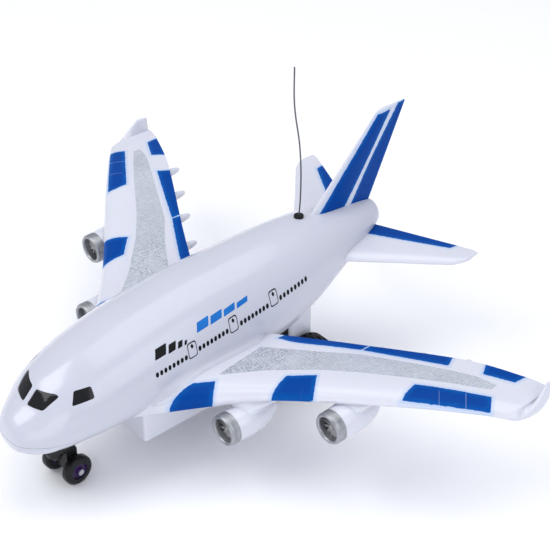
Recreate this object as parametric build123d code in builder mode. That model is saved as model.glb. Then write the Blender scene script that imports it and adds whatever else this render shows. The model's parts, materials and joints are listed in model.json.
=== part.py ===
"""Radio-controlled toy jumbo jet: shells, wings, engines, landing gear, drive unit and battery bay.

Frame: nose towards -Y, port side towards +X, +Z up. The floor under the wheels is Z = 0, and the
origin is on it under the middle of the aircraft. All sizes are millimetres.
"""

from build123d import *
from math import cos, pi, radians, sin
import os

os.makedirs("parts", exist_ok=True)

# ---------------------------------------------------------------- driving dimensions
WALL = 2.0                 # moulded shell thickness
SEAM_Z = 51.6              # parting line between the two fuselage shells
FAIRING_STEPS = 2          # fuselage sections skinned for each station given below
BELLY_SHARE = 0.45         # height of the widest line, as a share of the fuselage height

# fuselage stations from nose to tail: (y, top z, bottom z, half width)
STATIONS = [
    (-158.5, 56.0, 49.0, 5.0),
    (-157.3, 60.0, 45.0, 9.5),
    (-154.5, 63.5, 42.0, 14.0),
    (-144.0, 70.5, 38.0, 23.0),
    (-136.0, 78.5, 37.0, 27.0),
    (-127.0, 84.5, 36.5, 30.0),
    (-97.0, 95.5, 36.0, 35.0),
    (-67.0, 102.0, 36.0, 36.5),
    (-17.0, 106.5, 36.0, 36.5),
    (28.0, 107.0, 38.0, 35.0),
    (56.0, 106.5, 47.0, 31.5),
    (80.0, 104.5, 58.0, 26.0),
    (104.0, 101.0, 68.5, 19.0),
    (120.0, 98.0, 75.5, 13.5),
    (129.0, 95.0, 79.5, 9.0),
    (132.5, 91.5, 83.0, 5.0),
]

# cockpit panes: windscreen outline as (x, z) seen from the front, side pane as (y, z) from the side
WINDSCREEN = [(1.8, 70.8), (13.4, 71.2), (16.4, 78.2), (13.8, 79.1), (1.8, 78.2)]
WINDSCREEN_BACK = -124.0
SIDE_PANE = [(-126.9, 74.1), (-113.8, 75.8), (-113.0, 81.5), (-122.5, 80.4)]

# belly box for the batteries, and the pod behind it for the drive unit
BELLY_HALF_WIDTH = 29.0
BELLY_FRONT = -82.0
BELLY_BACK = 26.0
BELLY_BOTTOM = 22.0
POD_HALF_WIDTH = 23.0
POD_FRONT = 39.0
POD_BACK = 58.0
POD_BOTTOM = 8.5
POD_TOP = 62.0
CORNER_RADIUS = 2.5        # upright corners of the belly box and the pod

# wing stations from root to tip: (x, leading edge y, trailing edge y, top z, thickness)
WING = [
    (28.0, -90.0, 6.0, 64.5, 21.0),
    (57.0, -57.0, 21.0, 69.0, 16.5),
    (85.0, -30.0, 36.0, 73.0, 12.5),
    (143.0, 14.0, 69.0, 79.0, 10.0),
    (176.0, 40.0, 84.0, 79.0, 7.5),
    (188.0, 51.0, 88.5, 78.5, 6.0),
]
WING_SKIN = 1.6
NOSE_DROP = 0.6            # height of a section's nose below its crest, as a share of the thickness
HOLLOW_END = 172.0         # the wing is hollow inboard of this
# winglet sections: (x, z, tilt from upright in degrees, leading edge y, trailing edge y, thickness)
WINGLET = [(197.0, 76.0, 50.0, 64.0, 89.0, 4.5), (194.5, 86.0, 95.0, 79.0, 89.5, 2.6)]

# clear lens let into the top of each wing: corners as (x, y)
LENS = [
    (46.5, -38.0),
    (72.0, -17.0),
    (110.0, 12.0),
    (169.0, 57.5),
    (170.0, 63.5),
    (138.0, 47.5),
    (101.0, 32.0),
    (69.5, 13.5),
    (41.5, -4.0),
]
LAMPS = [(62.0, -14.0, 63.0), (100.0, 14.0, 68.0), (135.0, 34.0, 72.0)]    # (x, y, post top z)
LAMP_RADIUS = 1.5

# engines: (name, x, intake y, centre z)
ENGINES = [("inner", 71.0, -56.0, 45.5), ("outer", 119.0, -17.0, 56.8)]
RING_RADIUS = 9.4
HOLE_RADIUS = 6.9
RING_LENGTH = 6.5
NACELLE_RADIUS = 10.6
NACELLE_LENGTH = 38.0
INTAKE_DEPTH = 10.0
PYLON_HALF_WIDTH = 6.0
FAN_BLADES = 12

# flap-track fairings under the trailing edge
FAIRING_X = [71.0, 96.0, 118.0, 142.0]
FAIRING_RADIUS = 3.6
FAIRING_LENGTH = 30.0
FAIRING_DROP = 5.0         # below the wing's top
FAIRING_REACH = 9.0        # how far each stands out behind the trailing edge

# tail
FIN_BASE = (59.0, 122.6, 88.0, 7.0)      # leading edge y, trailing edge y, z, thickness
FIN_TIP = (132.0, 158.6, 161.0, 2.6)
TAILPLANE = [(6.0, 64.0, 121.5, 83.0, 8.0), (72.0, 129.0, 147.5, 84.5, 5.0), (80.0, 139.5, 149.0, 85.0, 3.0)]

# antenna whip: (y, z) along its line
ANTENNA_X = -2.5
ANTENNA_LINE = [(67.3, 98.0), (69.3, 125.0), (68.4, 155.0), (63.4, 190.0), (63.2, 214.6)]
ANTENNA_BENDS = [150.0, 140.0, 120.0]
ANTENNA_RADIUS = 0.5
GROMMET_RADIUS = 2.2

# nose gear: a twin-wheel caster that trails its pivot, at rest swung a little to port
PIVOT_Y = -128.3
CASTER_REST = 5.0          # degrees
TRAIL = 8.0
NOSE_WHEEL_RADIUS = 9.9
NOSE_WHEEL_WIDTH = 6.5
NOSE_WHEEL_INNER = 6.4     # from the middle of the fork to the wheel's inner face
FORK_HALF_WIDTH = 5.8
NOSE_AXLE_RADIUS = 1.0
PIVOT_RADIUS = 1.7
BOSS_BOTTOM = 32.0         # underside of the pivot boss

# drive axle, wheels and gear train
AXLE_Y = 47.0
AXLE_Z = 19.0
AXLE_RADIUS = 1.5
WHEEL_RADIUS = 19.0
WHEEL_INNER = 25.0
WHEEL_OUTER = 36.0
HUB_RADIUS = 13.0
TREADS = 24
MODULE = 0.5
LARGE_TEETH = 26
SMALL_TEETH = 10
PINION_TEETH = 8
TOOTH_SHARE = 0.19         # half a tooth's width at the pitch circle, as a share of the tooth pitch
BACKLASH = 0.1             # added to each centre distance
RUNNING = 0.05             # radial clearance of a shaft in its hole
GEAR_PIN_RADIUS = 0.9
MOTOR_RADIUS = 10.0
MOTOR_FLAT = 7.6
MOTOR_BACK = -12.5
MOTOR_SHAFT_RADIUS = 0.8
CASE_HALF_WIDTH = 20.6
CASE_WALL = 1.4
CASE_FRONT = 26.2
CASE_BACK = 56.0
CASE_BOTTOM = 9.5
CASE_TOP = 54.8
GEAR_ROOM_X = 13.0         # where the case ends and the gear cover starts
CASE_SCREWS = [(30.0, 13.2), (52.4, 51.2)]      # (y, z) of the screws along X
FLOOR_SCREWS_X = [-13.0, 7.0]
FLOOR_SCREWS_Y = 52.4

# batteries
CELL_RADIUS = 7.2
CELL_HALF = 24.8
CELL_PITCH = 14.9
CELL_Z = 32.2
CELL_START = -72.6
CELLS = 4
BAY_BACK = -19.0
BAY_TOP = CELL_Z + CELL_RADIUS + 0.4
DOOR_BACK = -9.0
DOOR_THICKNESS = 1.6
DOOR_GAP = 0.3
DOOR_SCREW_Y = -14.0
DOOR_SCREW_RADIUS = 1.15

# power switch
SWITCH_Y = 6.0
SWITCH_TRAVEL = 4.0

# screws between the shells: (x, y)
SHELL_SCREWS = [(0.0, -100.0), (24.0, 15.0), (-24.0, 15.0)]
BOARD_Z = 60.0


def save(part, label):
    """Labels a finished piece and writes its file."""
    part.label = label
    export_step(part, f"parts/{label}.step")


def save_pair(part, label):
    """Writes the port piece and its mirror image to starboard."""
    save(part, f"{label}_port")
    save(mirror(part, about=Plane.YZ), f"{label}_starboard")


def block(x0, x1, y0, y1, z0, z1, mode=Mode.ADD):
    """A box between two corners, in the current builder."""
    with Locations(((x0 + x1) / 2, (y0 + y1) / 2, (z0 + z1) / 2)):
        return Box(x1 - x0, y1 - y0, z1 - z0, mode=mode)


def rod(x, y, z0, z1, radius, mode=Mode.ADD):
    """An upright cylinder, in the current builder."""
    with Locations((x, y, (z0 + z1) / 2)):
        return Cylinder(radius, z1 - z0, mode=mode)


def cross_rod(x0, x1, y, z, radius, mode=Mode.ADD):
    """A cylinder along X, in the current builder."""
    with Locations(((x0 + x1) / 2, y, z)):
        return Cylinder(radius, x1 - x0, rotation=(0, 90, 0), mode=mode)


def side_plane(x, y=0.0, z=0.0):
    """A plane facing +X, with its own x along +Y and its own y along +Z."""
    return Plane((x, y, z), x_dir=(0, 1, 0), z_dir=(1, 0, 0))


# ---------------------------------------------------------------- fuselage envelope
def faired(rows, steps):
    """Rows with steps - 1 more between each two, on cubics that never overshoot the rows given."""
    slopes = []
    for column in range(1, len(rows[0])):
        rise = [(b[column] - a[column]) / (b[0] - a[0]) for a, b in zip(rows, rows[1:])]
        inner = [2 * p * q / (p + q) if p * q > 0 else 0 for p, q in zip(rise, rise[1:])]
        slopes.append([rise[0], *inner, rise[-1]])
    made = []
    for i, (a, b) in enumerate(zip(rows, rows[1:])):
        span = b[0] - a[0]
        for step in range(steps):
            t = step / steps
            row = [a[0] + t * span]
            for column, slope in enumerate(slopes, 1):
                start, end = a[column], b[column]
                ease = t * t * (3 - 2 * t)
                bend = t * (1 - t) * ((1 - t) * slope[i] - t * slope[i + 1]) * span
                row.append(start + ease * (end - start) + bend)
            made.append(tuple(row))
    return [*made, rows[-1]]


def fuselage_body(inset):
    """The closed body of the fuselage, shrunk by inset, skinned over egg-shaped sections."""
    rows = STATIONS if inset == 0 else STATIONS[1:-1]
    with BuildPart() as body:
        for y, top, bottom, half in faired(rows, FAIRING_STEPS):
            widest = bottom + BELLY_SHARE * (top - bottom)
            with BuildSketch(Plane((0, y, widest), x_dir=(1, 0, 0), z_dir=(0, -1, 0))):
                with BuildLine():
                    EllipticalCenterArc((0, 0), half - inset, top - widest - inset, 0, arc_size=180)
                    EllipticalCenterArc((0, 0), half - inset, widest - bottom - inset, 180, arc_size=180)
                make_face()
        loft(ruled=True)
    return body.part


hull = fuselage_body(0)
hull_inside = fuselage_body(WALL)

with BuildPart() as belly_box:
    block(-BELLY_HALF_WIDTH, BELLY_HALF_WIDTH, BELLY_FRONT, BELLY_BACK, BELLY_BOTTOM, SEAM_Z)
    fillet(edges().filter_by(Axis.Z), CORNER_RADIUS)

with BuildPart() as wheel_pod:
    block(-POD_HALF_WIDTH, POD_HALF_WIDTH, POD_FRONT, POD_BACK, POD_BOTTOM, POD_TOP)
    fillet(edges().filter_by(Axis.Z), CORNER_RADIUS)

with BuildPart() as shell:
    add(hull)
    add(belly_box.part)
    add(wheel_pod.part)
    add(hull_inside, mode=Mode.SUBTRACT)
    inner = BELLY_HALF_WIDTH - WALL
    block(
        -inner, inner, BELLY_FRONT + WALL, BELLY_BACK - WALL, BELLY_BOTTOM + WALL, SEAM_Z + 8, Mode.SUBTRACT
    )
    inner = POD_HALF_WIDTH - WALL
    block(-inner, inner, BELLY_BACK, POD_BACK - WALL, POD_BOTTOM + WALL / 2, 39.5, Mode.SUBTRACT)
    block(-inner, inner, BELLY_BACK - WALL, POD_BACK - WALL, 39.4, POD_TOP + 4, Mode.SUBTRACT)

# ---------------------------------------------------------------- fuselage shells and glazing
with BuildPart() as pane_cutters:
    with BuildSketch(Plane((0, WINDSCREEN_BACK, 0), x_dir=(1, 0, 0), z_dir=(0, -1, 0))):
        with BuildLine():
            Polyline(*WINDSCREEN, close=True)
        make_face()
        mirror(about=Plane.YZ)
    extrude(amount=40)
    with BuildSketch(side_plane(0)):
        with BuildLine():
            Polyline(*SIDE_PANE, close=True)
        make_face()
    extrude(amount=40, both=True)

with BuildPart() as cockpit_glazing:
    add(shell.part)
    add(pane_cutters.part, mode=Mode.INTERSECT)

# posts under the roof and shelves on the walls take the three shell screws
with BuildPart() as screw_posts:
    rod(*SHELL_SCREWS[0], SEAM_Z, 96, 3.0)
    for x, y in SHELL_SCREWS[1:]:
        outer = 34.5 if x > 0 else -34.5
        block(min(x, outer), max(x, outer), y - 2.5, y + 2.5, SEAM_Z, 58)
        rod(x, y, SEAM_Z, 58, 2.5)
    add(fuselage_body(WALL / 2), mode=Mode.INTERSECT)

with BuildPart() as fuselage_upper_shell:
    add(shell.part)
    add(pane_cutters.part, mode=Mode.SUBTRACT)
    split(bisect_by=Plane.XY.offset(SEAM_Z), keep=Keep.TOP)
    add(screw_posts.part)
    for x, y in SHELL_SCREWS:
        rod(x, y, SEAM_Z - 1, 57, 1.2, Mode.SUBTRACT)
    rod(ANTENNA_X, ANTENNA_LINE[0][0] + 0.6, 98, 112, GROMMET_RADIUS, Mode.SUBTRACT)

lower = split(shell.part, bisect_by=Plane.XY.offset(SEAM_Z), keep=Keep.BOTTOM)
door_half = BELLY_HALF_WIDTH - WALL
door_front = BELLY_FRONT + WALL
with BuildPart() as fuselage_lower_shell:
    add(lower)
    # battery bay: roof, end wall and the boss for the door screw
    block(-door_half, door_half, door_front, BAY_BACK, BAY_TOP, BAY_TOP + 1.5)
    block(-door_half, door_half, BAY_BACK - 1.5, BAY_BACK, BELLY_BOTTOM + WALL, BAY_TOP)
    rod(0, DOOR_SCREW_Y, BELLY_BOTTOM + WALL, 36, 3.5)
    block(-0.8, 0.8, BAY_BACK - 0.2, DOOR_SCREW_Y, BELLY_BOTTOM + WALL, 36)
    rod(0, DOOR_SCREW_Y, BELLY_BOTTOM, 34, 1.2, Mode.SUBTRACT)
    # the door's opening in the floor
    block(-door_half, door_half, door_front, DOOR_BACK, BELLY_BOTTOM - 1, BELLY_BOTTOM + WALL, Mode.SUBTRACT)
    # posts under the circuit board
    for x in (-16, 16):
        for y in (-66, -30):
            rod(x, y, BAY_TOP + 1.1, BOARD_Z, 2.0)
    # nose gear boss
    rod(0, PIVOT_Y, BOSS_BOTTOM, 46, 8)
    rod(0, PIVOT_Y, BOSS_BOTTOM, 44, 1.3, Mode.SUBTRACT)
    # bosses for the shell screws, with the heads sunk from below
    for x, y in SHELL_SCREWS:
        rod(x, y, 36 if x == 0 else BELLY_BOTTOM, SEAM_Z, 3.4)
        rod(x, y, 30 if x == 0 else BELLY_BOTTOM, 40, 2.5, Mode.SUBTRACT)
        rod(x, y, 39, SEAM_Z, 1.2, Mode.SUBTRACT)
    # slot for the switch knob
    block(
        -4.8, 4.8, SWITCH_Y - 1.9, SWITCH_Y + 1.9, BELLY_BOTTOM - 1, BELLY_BOTTOM + WALL + 0.5, Mode.SUBTRACT
    )
    # the drive axle passes through the pod's sides, and two screws through its floor
    cross_rod(-30, 30, AXLE_Y, AXLE_Z, 4.2, Mode.SUBTRACT)
    for x in FLOOR_SCREWS_X:
        rod(x, FLOOR_SCREWS_Y, POD_BOTTOM - 1, CASE_BOTTOM + 1, 1.1, Mode.SUBTRACT)

save(fuselage_upper_shell.part, "fuselage_upper_shell")
save(fuselage_lower_shell.part, "fuselage_lower_shell")
save(cockpit_glazing.part, "cockpit_glazing")


# ---------------------------------------------------------------- wings
def wing_section(plane, lead, trail, top, thick):
    """One wing section: a rounded nose, a crest at a third of the chord and a blunt trailing edge."""
    chord = trail - lead
    nose = (lead, top - NOSE_DROP * thick)
    edge = max(1.0, 0.16 * thick)
    with BuildSketch(plane) as made:
        with BuildLine():
            Spline(
                nose,
                (lead + 0.08 * chord, top - 0.17 * thick),
                (lead + 0.36 * chord, top),
                (trail, top - 0.08 * thick),
                tangents=[(0, 1), (1, -0.05)],
            )
            Line((trail, top - 0.08 * thick), (trail, top - 0.08 * thick - edge))
            Spline(
                (trail, top - 0.08 * thick - edge),
                (lead + 0.4 * chord, top - 0.95 * thick),
                (lead + 0.12 * chord, top - 0.95 * thick),
                nose,
                tangents=[(-1, -0.1), (0, 1)],
            )
        make_face()
    return made.sketch.face()


def wing_body(inset):
    """The port wing from inside the fuselage to where the winglet starts, shrunk by inset."""
    sections = []
    for x, lead, trail, top, thick in WING:
        if inset == 0 or x < HOLLOW_END + 5:
            sections.append(
                wing_section(
                    side_plane(x), lead + 2.2 * inset, trail - 5 * inset, top - inset, thick - 2 * inset
                )
            )
    with BuildPart() as body:
        loft(sections, ruled=True)
    return body.part


wing_solid = wing_body(0)
wing_hollow = wing_body(WING_SKIN)

x, lead, trail, top, thick = WING[-1]
winglet_sections = [wing_section(side_plane(x), lead, trail, top, thick)]
for x, z, tilt, lead, trail, thick in WINGLET:
    facing = (cos(radians(tilt)), 0, sin(radians(tilt)))
    tilted = Plane((x, 0, z), x_dir=(0, 1, 0), z_dir=facing)
    winglet_sections.append(wing_section(tilted, lead, trail, thick / 2, thick))
with BuildPart() as winglet:
    loft(winglet_sections)

with BuildPart() as lens_prism:
    with BuildSketch(Plane.XY.offset(50)):
        with BuildLine():
            Polyline(*LENS, close=True)
        make_face()
        fillet(vertices(), 2.0)
    extrude(amount=50)

# the skins part on a plane that climbs with the wing
climb = radians(7)
skin_plane = Plane((28, 0, 57.5), x_dir=(0, 1, 0), z_dir=(-sin(climb), 0, cos(climb)))
with BuildPart() as wing_room:
    add(wing_hollow)
    split(bisect_by=Plane.YZ.offset(HOLLOW_END), keep=Keep.BOTTOM)

with BuildPart() as wing_shell:
    add(wing_solid)
    add(wing_room.part, mode=Mode.SUBTRACT)
    add(hull, mode=Mode.SUBTRACT)
    add(belly_box.part, mode=Mode.SUBTRACT)

with BuildPart() as lens_cut:
    add(wing_shell.part)
    add(lens_prism.part, mode=Mode.INTERSECT)
wing_lens = lens_cut.solids().sort_by(Axis.Z)[-1]

with BuildPart() as lamp_posts:
    for x, y, top in LAMPS:
        rod(x, y, 40, top, LAMP_RADIUS + 0.6)
    add(wing_solid, mode=Mode.INTERSECT)

with BuildPart() as wing_lower_skin:
    add(wing_shell.part)
    split(bisect_by=skin_plane, keep=Keep.BOTTOM)
    split(bisect_by=Plane.YZ.offset(HOLLOW_END), keep=Keep.BOTTOM)
    add(lamp_posts.part)

with BuildPart() as wing_lamps:
    for x, y, top in LAMPS:
        rod(x, y, top, top + 2.5, LAMP_RADIUS)
        with Locations((x, y, top + 2.5)):
            Sphere(LAMP_RADIUS)

with BuildPart() as track_fairings:
    for x in FAIRING_X:
        inner, outer = [pair for pair in zip(WING, WING[1:]) if pair[0][0] <= x < pair[1][0]][0]
        share = (x - inner[0]) / (outer[0] - inner[0])
        trail = inner[2] + share * (outer[2] - inner[2])
        top = inner[3] + share * (outer[3] - inner[3])
        middle = trail + FAIRING_REACH - FAIRING_LENGTH / 2
        height = top - FAIRING_DROP
        with BuildSketch(side_plane(x, middle, height)):
            with BuildLine():
                EllipticalCenterArc((0, 0), FAIRING_LENGTH / 2, FAIRING_RADIUS, 0, arc_size=180)
                Line((-FAIRING_LENGTH / 2, 0), (FAIRING_LENGTH / 2, 0))
            make_face()
        revolve(axis=Axis((x, middle, height), (0, 1, 0)))
    add(wing_solid, mode=Mode.SUBTRACT)

with BuildPart() as wing_upper_skin:
    add(wing_shell.part)
    add(winglet.part)
    add(wing_lower_skin.part, mode=Mode.SUBTRACT)
    add(lens_prism.part, mode=Mode.SUBTRACT)
    for fairing in track_fairings.solids():
        if fairing.volume > 100:
            add(fairing)

save_pair(wing_upper_skin.part, "wing_upper_skin")
save_pair(wing_lower_skin.part, "wing_lower_skin")
save_pair(wing_lens, "wing_lens")
lamp_pairs = [*wing_lamps.solids(), *mirror(wing_lamps.part, about=Plane.YZ).solids()]
save(Compound(children=lamp_pairs), "wing_lamps")


# ---------------------------------------------------------------- engines
with BuildPart() as engine_body:
    with BuildSketch(side_plane(0)):
        with BuildLine():
            Spline(
                (RING_LENGTH, RING_RADIUS),
                (14, NACELLE_RADIUS),
                (25, NACELLE_RADIUS - 0.5),
                (NACELLE_LENGTH, 5.4),
            )
            Polyline(
                (NACELLE_LENGTH, 5.4),
                (NACELLE_LENGTH, 4.7),
                (NACELLE_LENGTH - 4, 4.5),
                (NACELLE_LENGTH - 4, 2.4),
                (NACELLE_LENGTH + 3, 0.5),
                (NACELLE_LENGTH + 3, 0),
                (INTAKE_DEPTH, 0),
                (INTAKE_DEPTH, HOLE_RADIUS),
                (RING_LENGTH, HOLE_RADIUS),
                (RING_LENGTH, RING_RADIUS),
            )
        make_face()
    revolve(axis=Axis.Y)
    with BuildSketch(side_plane(0)):
        with BuildLine():
            Polyline((13, 7), (21, 16), (46, 16), (32, 5), close=True)
        make_face()
    extrude(amount=PYLON_HALF_WIDTH, both=True)

with BuildPart() as ring:
    with BuildSketch(side_plane(0)):
        with BuildLine():
            Polyline(
                (0, HOLE_RADIUS),
                (RING_LENGTH, HOLE_RADIUS),
                (RING_LENGTH, RING_RADIUS),
                (0, RING_RADIUS),
                close=True,
            )
        make_face()
        fillet(vertices().sort_by(Axis.Y)[:2], 1.2)
    revolve(axis=Axis.Y)

with BuildPart() as fan:
    with BuildSketch(Plane.XZ.offset(-INTAKE_DEPTH)):
        Circle(HOLE_RADIUS)
    extrude(amount=1.4)
    with BuildSketch(side_plane(0)):
        with BuildLine():
            EllipticalCenterArc((INTAKE_DEPTH - 1, 0), 3.6, 2.3, 90, arc_size=90)
            Polyline((INTAKE_DEPTH - 4.6, 0), (INTAKE_DEPTH - 1, 0), (INTAKE_DEPTH - 1, 2.3))
        make_face()
    revolve(axis=Axis.Y)
    for i in range(FAN_BLADES):
        with Locations(Rot(0, 360 * i / FAN_BLADES, 0) * Pos(4.1, INTAKE_DEPTH - 2.0, 0) * Rot(35, 0, 0)):
            Box(4.6, 1.9, 0.7)

for name, x, y, z in ENGINES:
    place = Pos(x, y, z)
    with BuildPart() as nacelle:
        add(place * engine_body.part)
        add(wing_solid, mode=Mode.SUBTRACT)
    body = nacelle.solids().sort_by(SortBy.VOLUME)[-1]
    save_pair(body, f"nacelle_{name}")
    save_pair(place * ring.part, f"intake_ring_{name}")
    save_pair(place * fan.part, f"fan_disc_{name}")


# ---------------------------------------------------------------- tail
def fin_section(lead, trail, z, thick):
    """One level section of the fin: a slim symmetric leaf with a blunt trailing edge."""
    chord = trail - lead
    half = thick / 2
    with BuildSketch(Plane((0, 0, z), x_dir=(0, 1, 0), z_dir=(0, 0, 1))) as made:
        with BuildLine():
            Spline(
                (trail, 0.5),
                (lead + 0.45 * chord, half),
                (lead + 0.08 * chord, 0.6 * half),
                (lead, 0),
                (lead + 0.08 * chord, -0.6 * half),
                (lead + 0.45 * chord, -half),
                (trail, -0.5),
            )
            Line((trail, -0.5), (trail, 0.5))
        make_face()
    return made.sketch.face()


with BuildPart() as tail_fin:
    loft([fin_section(*FIN_BASE), fin_section(*FIN_TIP)], ruled=True)
    with BuildSketch(side_plane(0)):
        with BuildLine():
            Polyline(
                (FIN_BASE[0], FIN_BASE[2]),
                (FIN_TIP[0], FIN_TIP[2]),
                (FIN_TIP[1], FIN_TIP[2]),
                (FIN_BASE[1], FIN_BASE[2]),
                close=True,
            )
        make_face()
        fillet(vertices().sort_by(Axis.Z)[-2:], 4.0)
    extrude(amount=10, both=True, mode=Mode.INTERSECT)
    add(hull, mode=Mode.SUBTRACT)

with BuildPart() as tailplane:
    loft([wing_section(side_plane(x), *rest) for x, *rest in TAILPLANE], ruled=True)
    add(hull, mode=Mode.SUBTRACT)

save(tail_fin.part, "tail_fin")
save_pair(tailplane.part, "tailplane")

# ---------------------------------------------------------------- antenna
with BuildPart() as antenna_wire:
    with BuildLine() as whip:
        FilletPolyline(*[(ANTENNA_X, y, z) for y, z in ANTENNA_LINE], radius=ANTENNA_BENDS)
    with BuildSketch(Plane(whip.line @ 0, z_dir=whip.line % 0)):
        Circle(ANTENNA_RADIUS)
    sweep(path=whip.line)

with BuildPart() as antenna_grommet:
    rod(ANTENNA_X, ANTENNA_LINE[0][0] + 0.6, 102, 107, GROMMET_RADIUS)
    rod(ANTENNA_X, ANTENNA_LINE[0][0] + 0.6, 104.5, 107, GROMMET_RADIUS + 1)
    add(fuselage_upper_shell.part, mode=Mode.SUBTRACT)
    add(antenna_wire.part, mode=Mode.SUBTRACT)

save(antenna_wire.part, "antenna_wire")
save(antenna_grommet.part, "antenna_grommet")

# ---------------------------------------------------------------- nose gear, built with its pivot at X = Y = 0
swung = Pos(0, PIVOT_Y, 0) * Rot(0, 0, CASTER_REST)
with BuildPart() as caster_fork:
    rod(0, 0, BOSS_BOTTOM - 2.7, BOSS_BOTTOM - 0.3, 10)
    rod(0, 0, 21, BOSS_BOTTOM - 0.3, 5)
    with BuildSketch(side_plane(0)):
        with BuildLine():
            Polyline((4.2, 30), (4.2, 5.7), (12.2, 5.7), (12.2, 22), (9.5, 30), close=True)
        make_face()
        fillet(vertices().sort_by(Axis.Z)[:2], 3.0)
    extrude(amount=FORK_HALF_WIDTH, both=True)
    rod(0, 0, 20, BOSS_BOTTOM, PIVOT_RADIUS + RUNNING, Mode.SUBTRACT)
    cross_rod(-7, 7, TRAIL, NOSE_WHEEL_RADIUS, NOSE_AXLE_RADIUS, Mode.SUBTRACT)

with BuildPart() as nose_pivot_screw:
    rod(0, 0, 18.5, 20.9, 3.0)
    fillet(edges().group_by(Axis.Z)[0], 0.8)
    block(-1.8, 1.8, -0.4, 0.4, 18, 19.3, Mode.SUBTRACT)
    block(-0.4, 0.4, -1.8, 1.8, 18, 19.3, Mode.SUBTRACT)
    rod(0, 0, 20.9, BOSS_BOTTOM, PIVOT_RADIUS)
    rod(0, 0, BOSS_BOTTOM, 43, 1.3)

nose_wheel_outer = NOSE_WHEEL_INNER + NOSE_WHEEL_WIDTH
with BuildPart() as nose_axle:
    cross_rod(-nose_wheel_outer - 1, nose_wheel_outer + 1, TRAIL, NOSE_WHEEL_RADIUS, NOSE_AXLE_RADIUS)
    cross_rod(nose_wheel_outer + 0.3, nose_wheel_outer + 1.1, TRAIL, NOSE_WHEEL_RADIUS, 2.0)
    cross_rod(-nose_wheel_outer - 1.1, -nose_wheel_outer - 0.3, TRAIL, NOSE_WHEEL_RADIUS, 2.0)

with BuildPart() as nose_wheel:
    with BuildSketch(Plane.XY):
        with BuildLine():
            Polyline(
                (NOSE_WHEEL_INNER, NOSE_AXLE_RADIUS + RUNNING),
                (NOSE_WHEEL_INNER, NOSE_WHEEL_RADIUS),
                (nose_wheel_outer, NOSE_WHEEL_RADIUS),
                (nose_wheel_outer, 5.6),
                (nose_wheel_outer - 1.4, 5.0),
                (nose_wheel_outer - 1.4, 2.6),
                (nose_wheel_outer, 2.4),
                (nose_wheel_outer, NOSE_AXLE_RADIUS + RUNNING),
                close=True,
            )
        make_face()
        fillet(vertices().group_by(Axis.Y)[-1], 2.2)
    revolve(axis=Axis.X)

wheel_place = swung * Pos(0, TRAIL, NOSE_WHEEL_RADIUS)
save(swung * caster_fork.part, "caster_fork")
save(swung * nose_pivot_screw.part, "nose_pivot_screw")
save(swung * nose_axle.part, "nose_axle")
save(wheel_place * nose_wheel.part, "nose_wheel_port")
save(wheel_place * mirror(nose_wheel.part, about=Plane.YZ), "nose_wheel_starboard")


# ---------------------------------------------------------------- gear train
def centre_along(start, teeth, degrees):
    """The (y, z) of a shaft that meshes with one at start, teeth apart in total, on a bearing."""
    reach = MODULE * teeth / 2 + BACKLASH
    return (start[0] + reach * cos(radians(degrees)), start[1] + reach * sin(radians(degrees)))


def gear(teeth, x0, x1, centre, phase):
    """A spur gear from x0 to x1 with one tooth pointing at phase degrees, in the current builder."""
    radius = MODULE * teeth / 2
    half = TOOTH_SHARE * pi * MODULE
    tooth = [(radius - 0.9, 1.3 * half), (radius, half), (radius + 0.4, 0.6 * half)]
    outline = [*tooth, *[(along, -across) for along, across in reversed(tooth)]]
    with BuildPart(mode=Mode.PRIVATE) as made:
        with BuildSketch(side_plane(x0, *centre)):
            Circle(radius - 0.6)
            with PolarLocations(0, teeth, start_angle=phase):
                Polygon(*outline, align=None)
        extrude(amount=x1 - x0)
    return made.part


AXLE = (AXLE_Y, AXLE_Z)
SHAFT_B = centre_along(AXLE, LARGE_TEETH + SMALL_TEETH, 110)
SHAFT_A = centre_along(SHAFT_B, LARGE_TEETH + SMALL_TEETH, 90)
MOTOR = centre_along(SHAFT_A, LARGE_TEETH + PINION_TEETH, 130)

with BuildPart() as axle_gear:
    add(gear(LARGE_TEETH, 15.3, 16.9, AXLE, 110))
    cross_rod(13.6, 16.9, *AXLE, 3.0)
    cross_rod(13, 19, *AXLE, AXLE_RADIUS, Mode.SUBTRACT)

with BuildPart() as compound_gear_b:
    add(gear(LARGE_TEETH, 17.2, 18.8, SHAFT_B, 90))
    add(gear(SMALL_TEETH, 15.2, 17.2, SHAFT_B, 290 + 180 / SMALL_TEETH))
    cross_rod(13.6, 15.2, *SHAFT_B, 1.8)
    cross_rod(13, 19, *SHAFT_B, GEAR_PIN_RADIUS + RUNNING, Mode.SUBTRACT)

with BuildPart() as compound_gear_a:
    add(gear(LARGE_TEETH, 13.6, 15.0, SHAFT_A, 130))
    add(gear(SMALL_TEETH, 15.0, 18.8, SHAFT_A, 270 + 180 / SMALL_TEETH))
    cross_rod(13, 19, *SHAFT_A, GEAR_PIN_RADIUS + RUNNING, Mode.SUBTRACT)

with BuildPart() as motor_pinion:
    add(gear(PINION_TEETH, 13.4, 15.0, MOTOR, 310 + 180 / PINION_TEETH))
    cross_rod(13, 15, *MOTOR, MOTOR_SHAFT_RADIUS, Mode.SUBTRACT)

with BuildPart() as motor_shaft:
    cross_rod(-13.2, 15.0, *MOTOR, MOTOR_SHAFT_RADIUS)

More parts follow.
